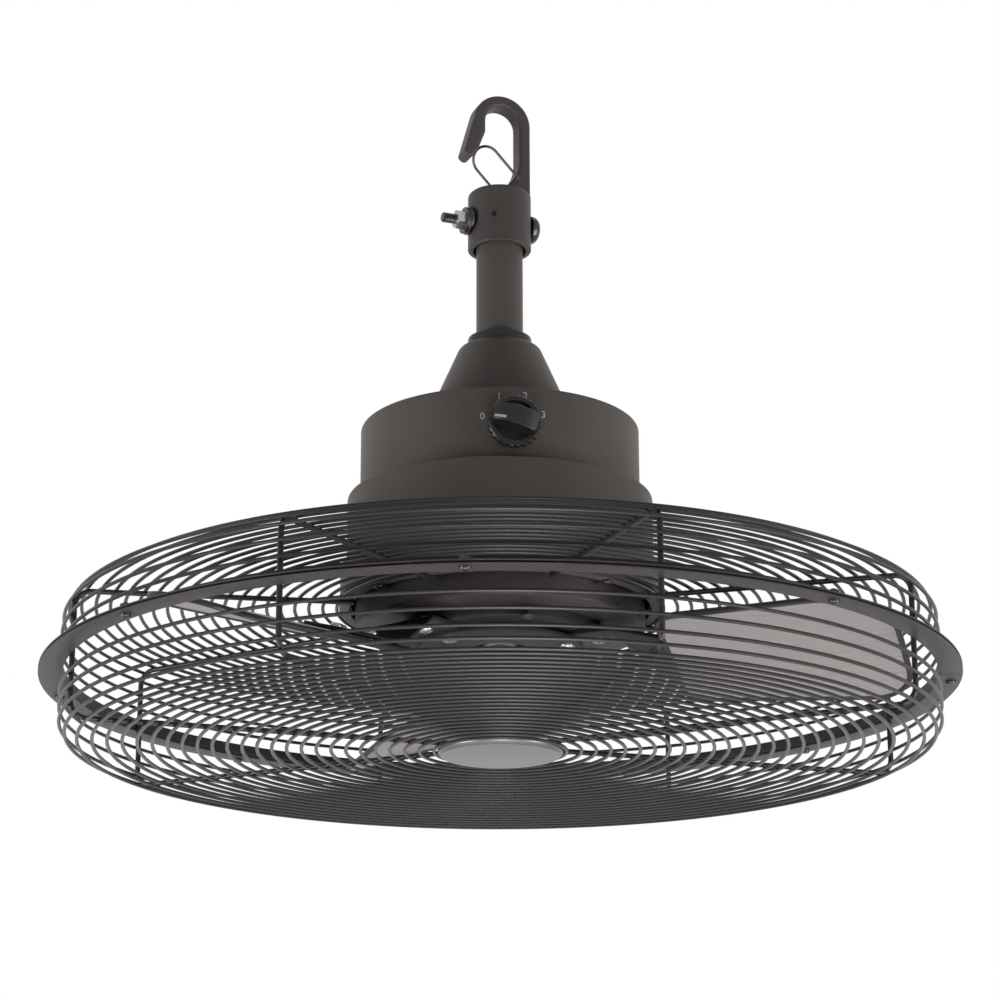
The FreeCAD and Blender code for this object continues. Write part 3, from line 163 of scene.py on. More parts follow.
# Guard
RING_WIRE = 1.0
RING_STEPS = 180
RING_SIDES = 10
RIB_WIRE = 1.5
RIB_SIDES = 12
RIB_COUNT = 8
RIB_START = -71.3
BETWEEN_RIBS = RIB_START + 180.0 / RIB_COUNT
RIB_WALL = 235.65
RIB_BEND = 9.0
RIB_BEND_STEPS = 14
RIB_GAP = 0.05
RIB_SLOPE = math.atan2(6.0, 138.4)
RIB_SEAT_RADIUS = reach("guard_mount_plate")
UPPER_RIB_INNER = 84.0
LOWER_RIB_INNER = 22.3
SEAT_RING_INNER = 83.2
SEAT_RING_OUTER = 88.9
SEAT_RING_LOW = MOTOR_BOTTOM + 3.5
SEAT_RING_EDGE = 0.4
SEAT_RING_TOP_EDGE = 0.2

# Rim
RIM_INNER = 237.2
RIM_OUTER = reach("lower_rim")
RIM_SHEET = 1.2
RIM_LEG = 6.2
RIM_FOLD = 1.0
RIM_EDGE = 0.25
RIM_GROOVE = 0.55
RIM_GROOVE_DEPTH = 4.0
RIM_STEPS = 360
RIM_SCREW_CIRCLE = RIM_OUTER - 5.5

# Screws, by the radius of the shank
RIM_SCREW = 1.5
SEAT_SCREW = 1.4
SEAT_SCREW_COUNT = 4
BLADE_SCREW = 1.8
ARM_SCREW = 2.2
SHANK_TAPER = 0.1
HEAD_RATIO = 1.9
HEAD_HEIGHT = 2.0
HEAD_SIDES = 24

# Rounding and cross recess of a head, as shares of its radius, and of its height for the depth
HEAD_ROUND_SHARE = 0.4
CROSS_WIDTH_SHARE = 0.11
CROSS_LENGTH_SHARE = 0.48
CROSS_DRAFT_SHARE = 0.02
CROSS_DEPTH_SHARE = 0.4

# Blades and arms
BLADE_COUNT = 3
BLADE_START = -16.0
BLADE_PITCH = 17.5
BLADE_Z = MOTOR_BOTTOM - 32.7
BLADE_ROOT = 94.5
BLADE_TIP = 222.0
BLADE_LEAD_ROOT = 47.5
BLADE_LEAD_TIP = 58.5
BLADE_TRAIL_ROOT = 41.0
BLADE_TRAIL_TIP = 52.5
BLADE_CORNER = 25.0
BLADE_LEAD_CORNER = 45.0
BLADE_ROOT_CORNER = 12.0
BLADE_CORNER_STEPS = 12
BLADE_SHEET = 1.6
BLADE_CROWN = 3.0
BLADE_CURVE = 450.0
BLADE_STRIP = 5.0
BLADE_BEAD = 3.2
BLADE_BEAD_ROUND = 1.1
BLADE_SCREW_PLACES = ((107.0, -13.0), (107.0, 13.0), (120.0, 0.0))
ARM_SHEET = 2.5
ARM_FOOT = (30.0, 66.0)
ARM_FOOT_WIDTH = (21.6, 36.0)
ARM_FOOT_LOW = BELL_BOTTOM - ARM_SHEET
ARM_PAD = (91.0, 128.0)
ARM_PAD_WIDTH = (44.0, 36.0)
ARM_PAD_LOW = BLADE_CROWN + BLADE_SHEET / 2
ARM_EDGE = 0.6
ARM_SCREW_RADII = (38.0, 56.0)
CLAMP_INNER = 16.0
CLAMP_OUTER = 45.0
CLAMP_SHEET = 2.2
CLAMP_EDGE = 0.8
CLAMP_HOLE_EDGE = 0.4
CLAMP_STEPS = 96

# Centre cap
CAP_RADIUS = reach("centre_cap")
CAP_FACE_RADIUS = 32.4
CAP_FACE_EDGE = 0.5
CAP_TOP_EDGE = 0.4
CAP_STEPS = 128

# Knob and dial
KNOB_ANGLE = -84.5
KNOB_Z = middle("switch_nut").z
KNOB_REST = 75.0
KNOB_BASE = SWITCH_RADIUS + 2.3
KNOB_CROWN = 18.85
KNOB_DEPTH = 15.0
POINTER_START = 5.0
POINTER_END = 11.2
POINTER_WIDTH = 1.4
POINTER_SIDE = -2.9
POINTER_STEPS = 8
DIAL_MARKS = 4
DIAL_RADIUS = 17.4
DIAL_STEP = 48.0
DIGIT_SIZE = 5.4
PRINT_DEPTH = 0.06

# Stage, lamps and camera: places in metres, angles in degrees, lens and sensor in millimetres
FLOOR_Z = -1.7
FLOOR_HALF = 6.0
FLOOR_GLOW = 0.8
WORLD_FILL = 0.07
LAMP_TARGET = (0, 0, -0.28)
SIDE_BOX_SIZE = (0.6, 1.2)
LEFT_BOX_PLACE = (-1.75, -0.75, -0.95)
LEFT_BOX_POWER = 49
RIGHT_BOX_PLACE = (1.75, -0.75, -0.95)
RIGHT_BOX_POWER = 47
LOW_BOX_SIZE = (0.5, 0.5)
LOW_BOX_PLACE = (0.1, -0.85, -1.3)
LOW_BOX_POWER = 14
CAMERA_PLACE = (0, -1.44879, -0.69139)
CAMERA_PITCH = 107.3346
CAMERA_ROLL = -0.118
CAMERA_SENSOR = 36.0
CAMERA_LENS = 97.607
CAMERA_REACH = 50.0


# Mesh helpers

def put(name, bm, body, finish, nodes=()):
    """Close a bmesh in millimetres into a finished piece that rides on a body."""
    bmesh.ops.remove_doubles(bm, verts=bm.verts, dist=MERGE)
    bmesh.ops.recalc_face_normals(bm, faces=bm.faces)
    bmesh.ops.scale(bm, vec=(MM, MM, MM), verts=bm.verts)
    mesh = bpy.data.meshes.new(name)
    bm.to_mesh(mesh)
    bm.free()
    mesh.shade_smooth()
    mesh.set_sharp_from_angle(angle=math.radians(SHARP_DEGREES))
    mesh.materials.append(finish)
    piece = bpy.data.objects.new(name, mesh)
    bpy.context.scene.collection.objects.link(piece)
    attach(piece, body)
    if nodes:
        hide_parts(*nodes)


def of_kind(geom, kind):
    """Only the vertices, edges or faces of a mixed list."""
    return [g for g in geom if isinstance(g, kind)]


def rounded(bm, edges, size, steps, clamp=False):
    """Round edges off by a size, in a number of steps."""
    bmesh.ops.bevel(bm, geom=edges, offset=size, offset_type="OFFSET", affect="EDGES", segments=steps,
                    profile=0.5, material=-1, clamp_overlap=clamp)


def creases(bm):
    """Edges where two faces meet at a sharp angle."""
    return [e for e in bm.edges if len(e.link_faces) == 2 and e.calc_face_angle() > CREASE_RADIANS]


def spun(corners, steps=ROUND_STEPS, hollow=True, rounding_steps=4):
    """Turned body from the (radius, height, edge rounding) corners of its section."""
    bm = bmesh.new()
    verts = [bm.verts.new((r, 0, z)) for r, z, _ in corners]
    pairs = list(zip(verts, verts[1:]))
    if hollow:
        pairs.append((verts[-1], verts[0]))
    edges = [bm.edges.new(pair) for pair in pairs]
    bmesh.ops.spin(bm, geom=verts + edges, cent=(0, 0, 0), axis=(0, 0, 1), angle=2 * math.pi,
                   steps=steps, use_merge=True)
    bmesh.ops.remove_doubles(bm, verts=bm.verts, dist=MERGE)
    bmesh.ops.recalc_face_normals(bm, faces=bm.faces)
    for r, z, rounding in corners:
        if rounding > 0:
            loop = [e for e in bm.edges if all(
                abs(v.co.z - z) < MATCH and abs(v.co.xy.length - r) < MATCH for v in e.verts)]
            rounded(bm, loop, rounding, rounding_steps, clamp=True)
    return bm


def shifted(bm, matrix):
    """Move a whole mesh by a matrix."""
    bmesh.ops.transform(bm, matrix=matrix, verts=bm.verts)
    return bm


def joined(meshes):
    """One bmesh from several."""
    whole = bmesh.new()
    for bm in meshes:
        scrap = bpy.data.meshes.new("scrap")
        bm.to_mesh(scrap)
        bm.free()
        whole.from_mesh(scrap)
        bpy.data.meshes.remove(scrap)
    return whole


def wire_ring(radius, height):
    """One closed ring of guard wire."""
    bm = bmesh.new()
    place = Matrix.Translation((radius, 0, height)) @ Matrix.Rotation(math.pi / 2, 4, "X")
    made = bmesh.ops.create_circle(bm, cap_ends=False, radius=RING_WIRE, segments=RING_SIDES, matrix=place)
    edges = list({e for v in made["verts"] for e in v.link_edges})
    bmesh.ops.spin(bm, geom=made["verts"] + edges, cent=(0, 0, 0), axis=(0, 0, 1), angle=2 * math.pi,
                   steps=RING_STEPS, use_merge=True)
    return bm


def rib_start(bm, at, along):
    """Closed end of a rib; returns the loop of edges that the wire goes on from."""
    aim = Vector(along).to_track_quat("Z", "Y").to_matrix().to_4x4()
    made = bmesh.ops.create_circle(bm, cap_ends=True, radius=RIB_WIRE, segments=RIB_SIDES,
                                   matrix=Matrix.Translation(at) @ aim)
    return list({e for v in made["verts"] for e in v.link_edges})


def rib_run(bm, loop, move):
    """Draw a rib straight on; returns its new end loop."""
    made = bmesh.ops.extrude_edge_only(bm, edges=loop)["geom"]
    verts = set(of_kind(made, BMVert))
    bmesh.ops.translate(bm, verts=list(verts), vec=move)
    return [e for e in of_kind(made, BMEdge) if verts.issuperset(e.verts)]


def rib_bend(bm, loop, center, angle):
    """Bend a rib in the XZ plane; returns its new end loop."""
    verts = list({v for e in loop for v in e.verts})
    made = bmesh.ops.spin(bm, geom=verts + loop, cent=center, axis=(0, 1, 0), angle=angle,
                          steps=RIB_BEND_STEPS)
    return of_kind(made["geom_last"], BMEdge)


def repeat(bm, count, start):
    """Turn the whole mesh to a start angle and copy it evenly about the fan's axis."""
    shifted(bm, Matrix.Rotation(math.radians(start), 4, "Z"))
    first = bm.verts[:] + bm.edges[:] + bm.faces[:]
    for i in range(1, count):
        copy = bmesh.ops.duplicate(bm, geom=first)["geom"]
        bmesh.ops.rotate(bm, verts=of_kind(copy, BMVert), cent=(0, 0, 0),
                         matrix=Matrix.Rotation(2 * math.pi * i / count, 3, "Z"))
    return bm


def out_of_wall(angle, height):
    """Matrix whose local Z points out of the housing at an angle, local Y up."""
    a = math.radians(angle)
    out = Vector((math.cos(a), math.sin(a), 0))
    right = Vector((-math.sin(a), math.cos(a), 0))
    turn = Matrix((right, Vector((0, 0, 1)), out)).transposed().to_4x4()
    return Matrix.Translation((0, 0, height)) @ turn


def across_collar():
    """Matrix that lays local Z along the cross bolt, towards its nut."""
    return (Matrix.Rotation(math.radians(HOOK_TURN), 4, "Z") @ Matrix.Translation((0, 0, BOLT_Z))
            @ Matrix.Rotation(-math.pi / 2, 4, "Y"))


def cross_screw(shank, length):
    """Pan-head screw: shank up from z = 0, head below it with a cross recess."""
    radius = shank * HEAD_RATIO
    bm = bmesh.new()
    bmesh.ops.create_cone(bm, cap_ends=True, cap_tris=False, segments=HEAD_SIDES, radius1=radius,
                          radius2=radius, depth=HEAD_HEIGHT,
                          matrix=Matrix.Translation((0, 0, -HEAD_HEIGHT / 2)))
    seat = max(bm.faces, key=lambda f: f.calc_center_median().z)
    bmesh.ops.inset_region(bm, faces=[seat], thickness=radius - shank, use_even_offset=True)
    bmesh.ops.inset_region(bm, faces=[seat], thickness=shank * SHANK_TAPER, depth=length,
                           use_even_offset=True)
    rim = [e for e in bm.edges if all(abs(v.co.z + HEAD_HEIGHT) < MERGE for v in e.verts)]
    rounded(bm, rim, radius * HEAD_ROUND_SHARE, steps=3, clamp=True)
    cut = [min(bm.faces, key=lambda f: f.calc_center_median().z)]
    slot, span = radius * CROSS_WIDTH_SHARE, radius * CROSS_LENGTH_SHARE
    for axis in (Vector((1, 0, 0)), Vector((0, 1, 0))):
        for place in (-span, -slot, slot, span):
            geom = cut + list({e for f in cut for e in f.edges}) + list({v for f in cut for v in f.verts})
            made = bmesh.ops.bisect_plane(bm, geom=geom, plane_co=axis * place, plane_no=axis)
            cut = of_kind(made["geom"], BMFace)
    arms = []
    for f in cut:
        x, y = (abs(c) for c in f.calc_center_median().xy)
        if min(x, y) < slot and max(x, y) < span:
            arms.append(f)
    bmesh.ops.inset_region(bm, faces=arms, thickness=radius * CROSS_DRAFT_SHARE,
                           depth=-HEAD_HEIGHT * CROSS_DEPTH_SHARE, use_even_offset=True)
    return bm


# Materials

COAT_BUMP = 0.6
BRUSHED_BUMP = 0.25
BRUSHED_DEPTH = 0.00004
TURNED_BUMP = 0.2
TURNED_DEPTH = 0.00003
CLOUD_SCALE = 14.0
CLOUD_SHARE = 0.3
TINT_INPUTS = (("Dark", "NodeSocketColor"), ("Light", "NodeSocketColor"),
               ("Rough Low", "NodeSocketFloat"), ("Rough High", "NodeSocketFloat"))


def new_material(name, slot_name):
    """Material, its node tree and its Principled shader, tagged with the record's slot."""
    made = bpy.data.materials.new(name)
    made.use_nodes = True
    made["slot"] = slot_name
    shader = next(n for n in made.node_tree.nodes if n.type == "BSDF_PRINCIPLED")
    return made, made.node_tree, shader


def surface_group(name, inputs):
    """Empty shader group with the given inputs and colour, roughness and height outputs."""
    group = bpy.data.node_groups.new(name, "ShaderNodeTree")
    for label, kind in inputs:
        group.interface.new_socket(label, in_out="INPUT", socket_type=kind)
    for label, kind in (("Color", "NodeSocketColor"), ("Roughness", "NodeSocketFloat"),
                        ("Height", "NodeSocketFloat")):
        group.interface.new_socket(label, in_out="OUTPUT", socket_type=kind)
    return group, group.nodes.new("NodeGroupInput"), group.nodes.new("NodeGroupOutput")


def map_range(nodes, low, high):
    """Map Range node that stretches low..high to 0..1."""
    made = nodes.new("ShaderNodeMapRange")
    made.inputs["From Min"].default_value = low
    made.inputs["From Max"].default_value = high
    return made


def noise(nodes, detail, roughness):
    """Noise texture with its detail and roughness set."""
    made = nodes.new("ShaderNodeTexNoise")
    made.inputs["Detail"].default_value = detail
    made.inputs["Roughness"].default_value = roughness
    return made


def finish_group(group, start, end, factor, height):
    """Wire a 0..1 factor to the group's tint and roughness, and a height to its bump output."""
    nodes, links = group.nodes, group.links
    tint = nodes.new("ShaderNodeMix")
    tint.data_type = "RGBA"
    shine = nodes.new("ShaderNodeMapRange")
    links.new(factor, tint.inputs["Factor"])
    links.new(start.outputs["Dark"], tint.inputs[6])
    links.new(start.outputs["Light"], tint.inputs[7])
    links.new(factor, shine.inputs["Value"])
    links.new(start.outputs["Rough Low"], shine.inputs["To Min"])
    links.new(start.outputs["Rough High"], shine.inputs["To Max"])
    links.new(tint.outputs[2], end.inputs["Color"])
    links.new(shine.outputs["Result"], end.inputs["Roughness"])
    links.new(height, end.inputs["Height"])


def coat_grain_group():
    """Fine pebble of a powder coat or moulding, over soft clouds of tone."""
    group, start, end = surface_group("coat_grain", TINT_INPUTS + (("Pebble Scale", "NodeSocketFloat"),))
    nodes, links = group.nodes, group.links
    place = nodes.new("ShaderNodeTexCoord")
    pebble = noise(nodes, detail=3.0, roughness=0.6)
    cloud = nodes.new("ShaderNodeTexNoise")
    cloud.inputs["Scale"].default_value = CLOUD_SCALE
    spread = map_range(nodes, low=0.32, high=0.68)
    drift = map_range(nodes, low=0.3, high=0.7)
    blend = nodes.new("ShaderNodeMix")
    blend.inputs["Factor"].default_value = CLOUD_SHARE
    links.new(place.outputs["Object"], pebble.inputs["Vector"])
    links.new(place.outputs["Object"], cloud.inputs["Vector"])
    links.new(start.outputs["Pebble Scale"], pebble.inputs["Scale"])
    links.new(pebble.outputs["Fac"], spread.inputs["Value"])
    links.new(cloud.outputs["Fac"], drift.inputs["Value"])
    links.new(spread.outputs["Result"], blend.inputs["A"])
    links.new(drift.outputs["Result"], blend.inputs["B"])
    finish_group(group, start, end, blend.outputs["Result"], spread.outputs["Result"])
    return group


def brushed_group():
    """Fine lines along one direction, from noise on stretched coordinates."""
    group, start, end = surface_group("brushed_lines", TINT_INPUTS + (
        ("Vector", "NodeSocketVector"), ("Line Scale", "NodeSocketFloat")))
    nodes, links = group.nodes, group.links
    lines = noise(nodes, detail=4.0, roughness=0.65)
    spread = map_range(nodes, low=0.3, high=0.7)
    links.new(start.outputs["Vector"], lines.inputs["Vector"])
    links.new(start.outputs["Line Scale"], lines.inputs["Scale"])
    links.new(lines.outputs["Fac"], spread.inputs["Value"])
    finish_group(group, start, end, spread.outputs["Result"], spread.outputs["Result"])
    return group


COAT_GRAIN = coat_grain_group()
BRUSHED = brushed_group()


def wear_finish(tree, shader, group, dark, light, rough, strength, depth):
    """Place a surface group in a material with its own colours, roughness and bump depth."""
    surface = tree.nodes.new("ShaderNodeGroup")
    surface.node_tree = group
    surface.inputs["Dark"].default_value = (*dark, 1)
    surface.inputs["Light"].default_value = (*light, 1)
    surface.inputs["Rough Low"].default_value = rough[0]
    surface.inputs["Rough High"].default_value = rough[1]
    bump = tree.nodes.new("ShaderNodeBump")
    bump.inputs["Strength"].default_value = strength
    bump.inputs["Distance"].default_value = depth
    tree.links.new(surface.outputs["Color"], shader.inputs["Base Color"])
    tree.links.new(surface.outputs["Roughness"], shader.inputs["Roughness"])
    tree.links.new(surface.outputs["Height"], bump.inputs["Height"])
    tree.links.new(bump.outputs["Normal"], shader.inputs["Normal"])
    return surface


def coat(name, slot_name, dark, light, scale, rough, depth, metallic=0.0, gloss=0.25):
    """Powder coat, paint or moulding with a fine pebble; gloss is the shader's specular level."""
    made, tree, shader = new_material(name, slot_name)
    surface = wear_finish(tree, shader, COAT_GRAIN, dark, light, rough, COAT_BUMP, depth)
    surface.inputs["Pebble Scale"].default_value = scale
    shader.inputs["Metallic"].default_value = metallic
    shader.inputs["Specular IOR Level"].default_value = gloss
    return made


def brushed(name, slot_name, dark, light, scale, rough, stretch, metallic, source="Object"):
    """Metal with fine lines; stretch is the pattern's scale along each axis."""
    made, tree, shader = new_material(name, slot_name)
    surface = wear_finish(tree, shader, BRUSHED, dark, light, rough, BRUSHED_BUMP, BRUSHED_DEPTH)
    place = tree.nodes.new("ShaderNodeTexCoord")
    mapping = tree.nodes.new("ShaderNodeMapping")
    mapping.inputs["Scale"].default_value = stretch
    tree.links.new(place.outputs[source], mapping.inputs["Vector"])
    tree.links.new(mapping.outputs["Vector"], surface.inputs["Vector"])
    surface.inputs["Line Scale"].default_value = scale
    shader.inputs["Metallic"].default_value = metallic
    return made


def turned_satin(name, slot_name, dark, light, scale, rough, metallic):
    """Satin metal with faint turning marks about the fan's axis."""
    made, tree, shader = new_material(name, slot_name)
    surface = wear_finish(tree, shader, BRUSHED, dark, light, rough, TURNED_BUMP, TURNED_DEPTH)
    place = tree.nodes.new("ShaderNodeTexCoord")
    flat = tree.nodes.new("ShaderNodeVectorMath")
    flat.operation = "MULTIPLY"
    flat.inputs[1].default_value = (1, 1, 0)
    radius = tree.nodes.new("ShaderNodeVectorMath")
    radius.operation = "LENGTH"
    rings = tree.nodes.new("ShaderNodeCombineXYZ")
    tree.links.new(place.outputs["Object"], flat.inputs[0])
    tree.links.new(flat.outputs["Vector"], radius.inputs[0])
    tree.links.new(radius.outputs["Value"], rings.inputs["X"])
    tree.links.new(rings.outputs["Vector"], surface.inputs["Vector"])
    surface.inputs["Line Scale"].default_value = scale
    shader.inputs["Metallic"].default_value = metallic
    return made


BRONZE = coat("bronze_powder_coat", "dark_bronze_paint", (0.044, 0.038, 0.035), (0.076, 0.066, 0.061),
              scale=2600.0, rough=(0.40, 0.56), depth=0.00008, gloss=0.15)
HOOK_COAT = coat("hook_powder_coat", "hook_paint", (0.024, 0.020, 0.0185), (0.043, 0.036, 0.034),
                 scale=1900.0, rough=(0.40, 0.56), depth=0.00010)
WIRE_COAT = coat("guard_wire_coat", "guard_wire", (0.011, 0.0098, 0.0094), (0.021, 0.0186, 0.0178),
                 scale=1800.0, rough=(0.28, 0.38), depth=0.00003, gloss=0.2)
RIM_COAT = coat("rim_coat", "rim_paint", (0.021, 0.0188, 0.018), (0.035, 0.0315, 0.030),
                scale=2200.0, rough=(0.34, 0.50), depth=0.00005, gloss=0.12)
BELL_COAT = coat("rotor_paint", "bell_paint", (0.014, 0.013, 0.013), (0.026, 0.024, 0.023),
                 scale=1800.0, rough=(0.38, 0.55), depth=0.00005, gloss=0.1)
ROTOR_COAT = coat("rotor_bottom_paint", "bell_paint", (0.017, 0.014, 0.013), (0.029, 0.0245, 0.023),
                  scale=2200.0, rough=(0.38, 0.55), depth=0.00005)
# Near-black colour of the blades' rolled edges is painted shade along the blade edges, on the blades'
# aluminium slot
EDGE_SHADE_COAT = coat("blade_edge_painted_shade", "blade_aluminium", (0.007, 0.0065, 0.0065), (0.016, 0.015, 0.015),
                 scale=1800.0, rough=(0.32, 0.45), depth=0.00003)
ARM_COAT = coat("arm_paint", "arm_paint", (0.016, 0.015, 0.015), (0.030, 0.028, 0.027),
                scale=1800.0, rough=(0.34, 0.5), depth=0.00004, gloss=0.1)
BLACK_PLASTIC = coat("black_moulding", "black_plastic", (0.006, 0.006, 0.006), (0.013, 0.0125, 0.0125),
                     scale=2400.0, rough=(0.30, 0.42), depth=0.00003)
PALE_PRINT = coat("pale_print", "dark_bronze_paint", (0.30, 0.29, 0.28), (0.42, 0.41, 0.4),
                  scale=1500.0, rough=(0.5, 0.65), depth=0.00001)
CAPACITOR = coat("capacitor_moulding", "capacitor_plastic", (0.015, 0.015, 0.016), (0.03, 0.03, 0.032),
                 scale=1500.0, rough=(0.25, 0.35), depth=0.00002)
CASTING = coat("coupling_casting", "cast_steel", (0.12, 0.12, 0.12), (0.22, 0.22, 0.215),
               scale=900.0, rough=(0.5, 0.65), depth=0.00012, metallic=0.6)
WINDING = coat("winding_enamel", "winding_copper", (0.28, 0.10, 0.045), (0.5, 0.21, 0.1),
               scale=700.0, rough=(0.3, 0.45), depth=0.0002, metallic=0.5)
FLOOR_PAINT = coat("studio_floor", "floor", (0.82, 0.82, 0.82), (0.88, 0.88, 0.88),
                   scale=40.0, rough=(0.7, 0.85), depth=0.0002)
DARK_STEEL = brushed("black_oxide_steel", "dark_steel", (0.022, 0.021, 0.020), (0.050, 0.048, 0.046),
                     scale=900.0, rough=(0.26, 0.38), stretch=(1, 1, 0.3), metallic=0.7)
ZINC = brushed("zinc_plate", "zinc_steel", (0.28, 0.275, 0.265), (0.46, 0.45, 0.43),
               scale=700.0, rough=(0.26, 0.4), stretch=(1, 1, 0.3), metallic=0.9)
ZINC_WIRE = brushed("zinc_wire", "zinc_wire", (0.03, 0.029, 0.028), (0.07, 0.067, 0.065),
                    scale=800.0, rough=(0.28, 0.4), stretch=(1, 1, 0.2), metallic=0.7)
BEARING = brushed("ground_steel", "bearing_steel", (0.5, 0.5, 0.5), (0.62, 0.62, 0.62),
                  scale=900.0, rough=(0.15, 0.25), stretch=(1, 1, 0.2), metallic=1.0)
CORE = brushed("laminated_steel", "core_steel", (0.16, 0.16, 0.165), (0.3, 0.3, 0.31),
               scale=1.0, rough=(0.4, 0.55), stretch=(20, 20, 2000), metallic=0.8)
BLADE_METAL = brushed("blade_brushed", "blade_aluminium", (0.20, 0.182, 0.18), (0.295, 0.268, 0.265),
                      scale=1.0, rough=(0.36, 0.5), stretch=(30, 900, 1), metallic=0.45, source="UV")
CAP_SATIN = turned_satin("cap_satin", "cap_satin", (0.085, 0.084, 0.082), (0.12, 0.118, 0.115),
                         scale=900.0, rough=(0.3, 0.42), metallic=0.85)


# Hook hardware and rod

def hook_bolt():
    """Cross bolt: domed head, plain shank and a threaded end."""
    thread_start = COLLAR_RADIUS + LOCK_WASHER + PLAIN_WASHER
    chain = [(0, -COLLAR_RADIUS - BOLT_HEAD_HEIGHT, 0),
             (BOLT_HEAD_RADIUS, -COLLAR_RADIUS - BOLT_HEAD_HEIGHT, BOLT_HEAD_DOME),
             (BOLT_HEAD_RADIUS, -COLLAR_RADIUS, 0), (BOLT_RADIUS, -COLLAR_RADIUS, 0),
             (BOLT_RADIUS, thread_start, 0)]
    for i in range(int((BOLT_END - thread_start) / THREAD_PITCH)):
        z = thread_start + i * THREAD_PITCH
        chain += [(BOLT_RADIUS - THREAD_DEPTH, z + THREAD_PITCH / 2, 0), (BOLT_RADIUS, z + THREAD_PITCH, 0)]
    chain += [(BOLT_RADIUS - THREAD_DEPTH, BOLT_END, 0), (0, BOLT_END, 0)]
    bm = spun(chain, steps=BOLT_STEPS, hollow=False, rounding_steps=6)
    put("smooth_hook_bolt", shifted(bm, across_collar()), "frame", DARK_STEEL, ["hook_bolt"])


def hook_bolt_washers():
    """Thick lock washer against the collar and a plain washer under the nut."""
    first = COLLAR_RADIUS + LOCK_WASHER
    second = first + PLAIN_WASHER
    lock = spun([(WASHER_BORE, COLLAR_RADIUS, 0), (LOCK_WASHER_RADIUS, COLLAR_RADIUS, LOCK_WASHER_BACK_EDGE),
                 (LOCK_WASHER_RADIUS, first, LOCK_WASHER_FRONT_EDGE), (WASHER_BORE, first, 0)],
                steps=WASHER_STEPS)
    plain = spun([(WASHER_BORE, first, 0), (PLAIN_WASHER_RADIUS, first, PLAIN_WASHER_EDGE),
                  (PLAIN_WASHER_RADIUS, second, PLAIN_WASHER_EDGE), (WASHER_BORE, second, 0)],
                 steps=WASHER_STEPS)
    put("smooth_hook_bolt_washers", shifted(joined([lock, plain]), across_collar()), "frame", DARK_STEEL,
        ["hook_bolt_washers"])


def downrod():
    """Straight pipe from the hook's collar to the coupling."""
    low, high = level("downrod", LOW), level("downrod", HIGH)
    bore = ROD_RADIUS - ROD_WALL
    bm = spun([(bore, low, 0), (ROD_RADIUS, low, ROD_EDGE), (ROD_RADIUS, high, ROD_EDGE), (bore, high, 0)],
              steps=ROD_STEPS)
    put("smooth_downrod", bm, "frame", BRONZE, ["downrod"])


# Housings

def rod_seal():
    """Ring that closes the cone round the rod."""
    bm = spun([(SEAL_BORE, COVER_TOP, 0), (SEAL_RADIUS, COVER_TOP, SEAL_LOW_EDGE),
               (SEAL_RADIUS, SEAL_TOP, SEAL_TOP_EDGE), (SEAL_BORE, SEAL_TOP, SEAL_BORE_EDGE)],
              steps=ROD_STEPS)
    put("smooth_rod_seal", bm, "frame", BLACK_PLASTIC, ["rod_seal"])


def yoke_cover():
    """Drawn cone over the coupling."""
    inner_top = COVER_TOP - COVER_WALL
    bm = spun([(COVER_BORE, COVER_TOP, 0), (COVER_TOP_RADIUS, COVER_TOP, COVER_SHOULDER),
               (COVER_BASE_RADIUS, SWITCH_TOP, COVER_EDGE), (COVER_BASE_RADIUS - COVER_WALL, SWITCH_TOP, 0),
               (COVER_TOP_RADIUS - COVER_WALL, inner_top, 0), (COVER_BORE, inner_top, 0)],
              steps=COVER_STEPS, rounding_steps=8)
    put("smooth_yoke_cover", bm, "frame", BRONZE, ["yoke_cover"])


def switch_housing():
    """Drawn shell round the speed switch."""
    inner = SWITCH_RADIUS - SHELL_WALL
    inner_top = SWITCH_TOP - SHELL_WALL
    bm = spun([(SHAFT_HOLE, SWITCH_TOP, 0), (SWITCH_RADIUS, SWITCH_TOP, TOP_EDGE),
               (SWITCH_RADIUS, MOTOR_TOP, SWITCH_LOW_EDGE), (inner, MOTOR_TOP, 0),
               (inner, inner_top, 0), (SHAFT_HOLE, inner_top, 0)], rounding_steps=6)
    put("smooth_switch_housing", bm, "frame", BRONZE, ["switch_housing"])


def motor_housing():
    """Drawn motor shell with its wider lower band and rounded bottom."""
    band_top = MOTOR_BOTTOM + MOTOR_BAND_HEIGHT
    step_top = band_top + MOTOR_BAND_STEP
    band_inner = MOTOR_BAND_RADIUS - SHELL_WALL
    wall_inner = MOTOR_RADIUS - SHELL_WALL
    bm = spun([(SHAFT_HOLE, MOTOR_TOP, 0), (MOTOR_RADIUS, MOTOR_TOP, TOP_EDGE),
               (MOTOR_RADIUS, step_top, MOTOR_BAND_EDGE), (MOTOR_BAND_RADIUS, band_top, MOTOR_BAND_EDGE),
               (MOTOR_BAND_RADIUS, MOTOR_LIP, MOTOR_ROUND), (MOTOR_OPENING, MOTOR_LIP, MOTOR_LIP_EDGE),
               (MOTOR_OPENING, MOTOR_LIP + SHELL_WALL, 0),
               (band_inner, MOTOR_LIP + SHELL_WALL, MOTOR_ROUND - SHELL_WALL), (band_inner, band_top, 0),
               (wall_inner, step_top, 0), (wall_inner, MOTOR_TOP - SHELL_WALL, 0),
               (SHAFT_HOLE, MOTOR_TOP - SHELL_WALL, 0)], rounding_steps=8)
    put("smooth_motor_housing", bm, "frame", BRONZE, ["motor_housing"])


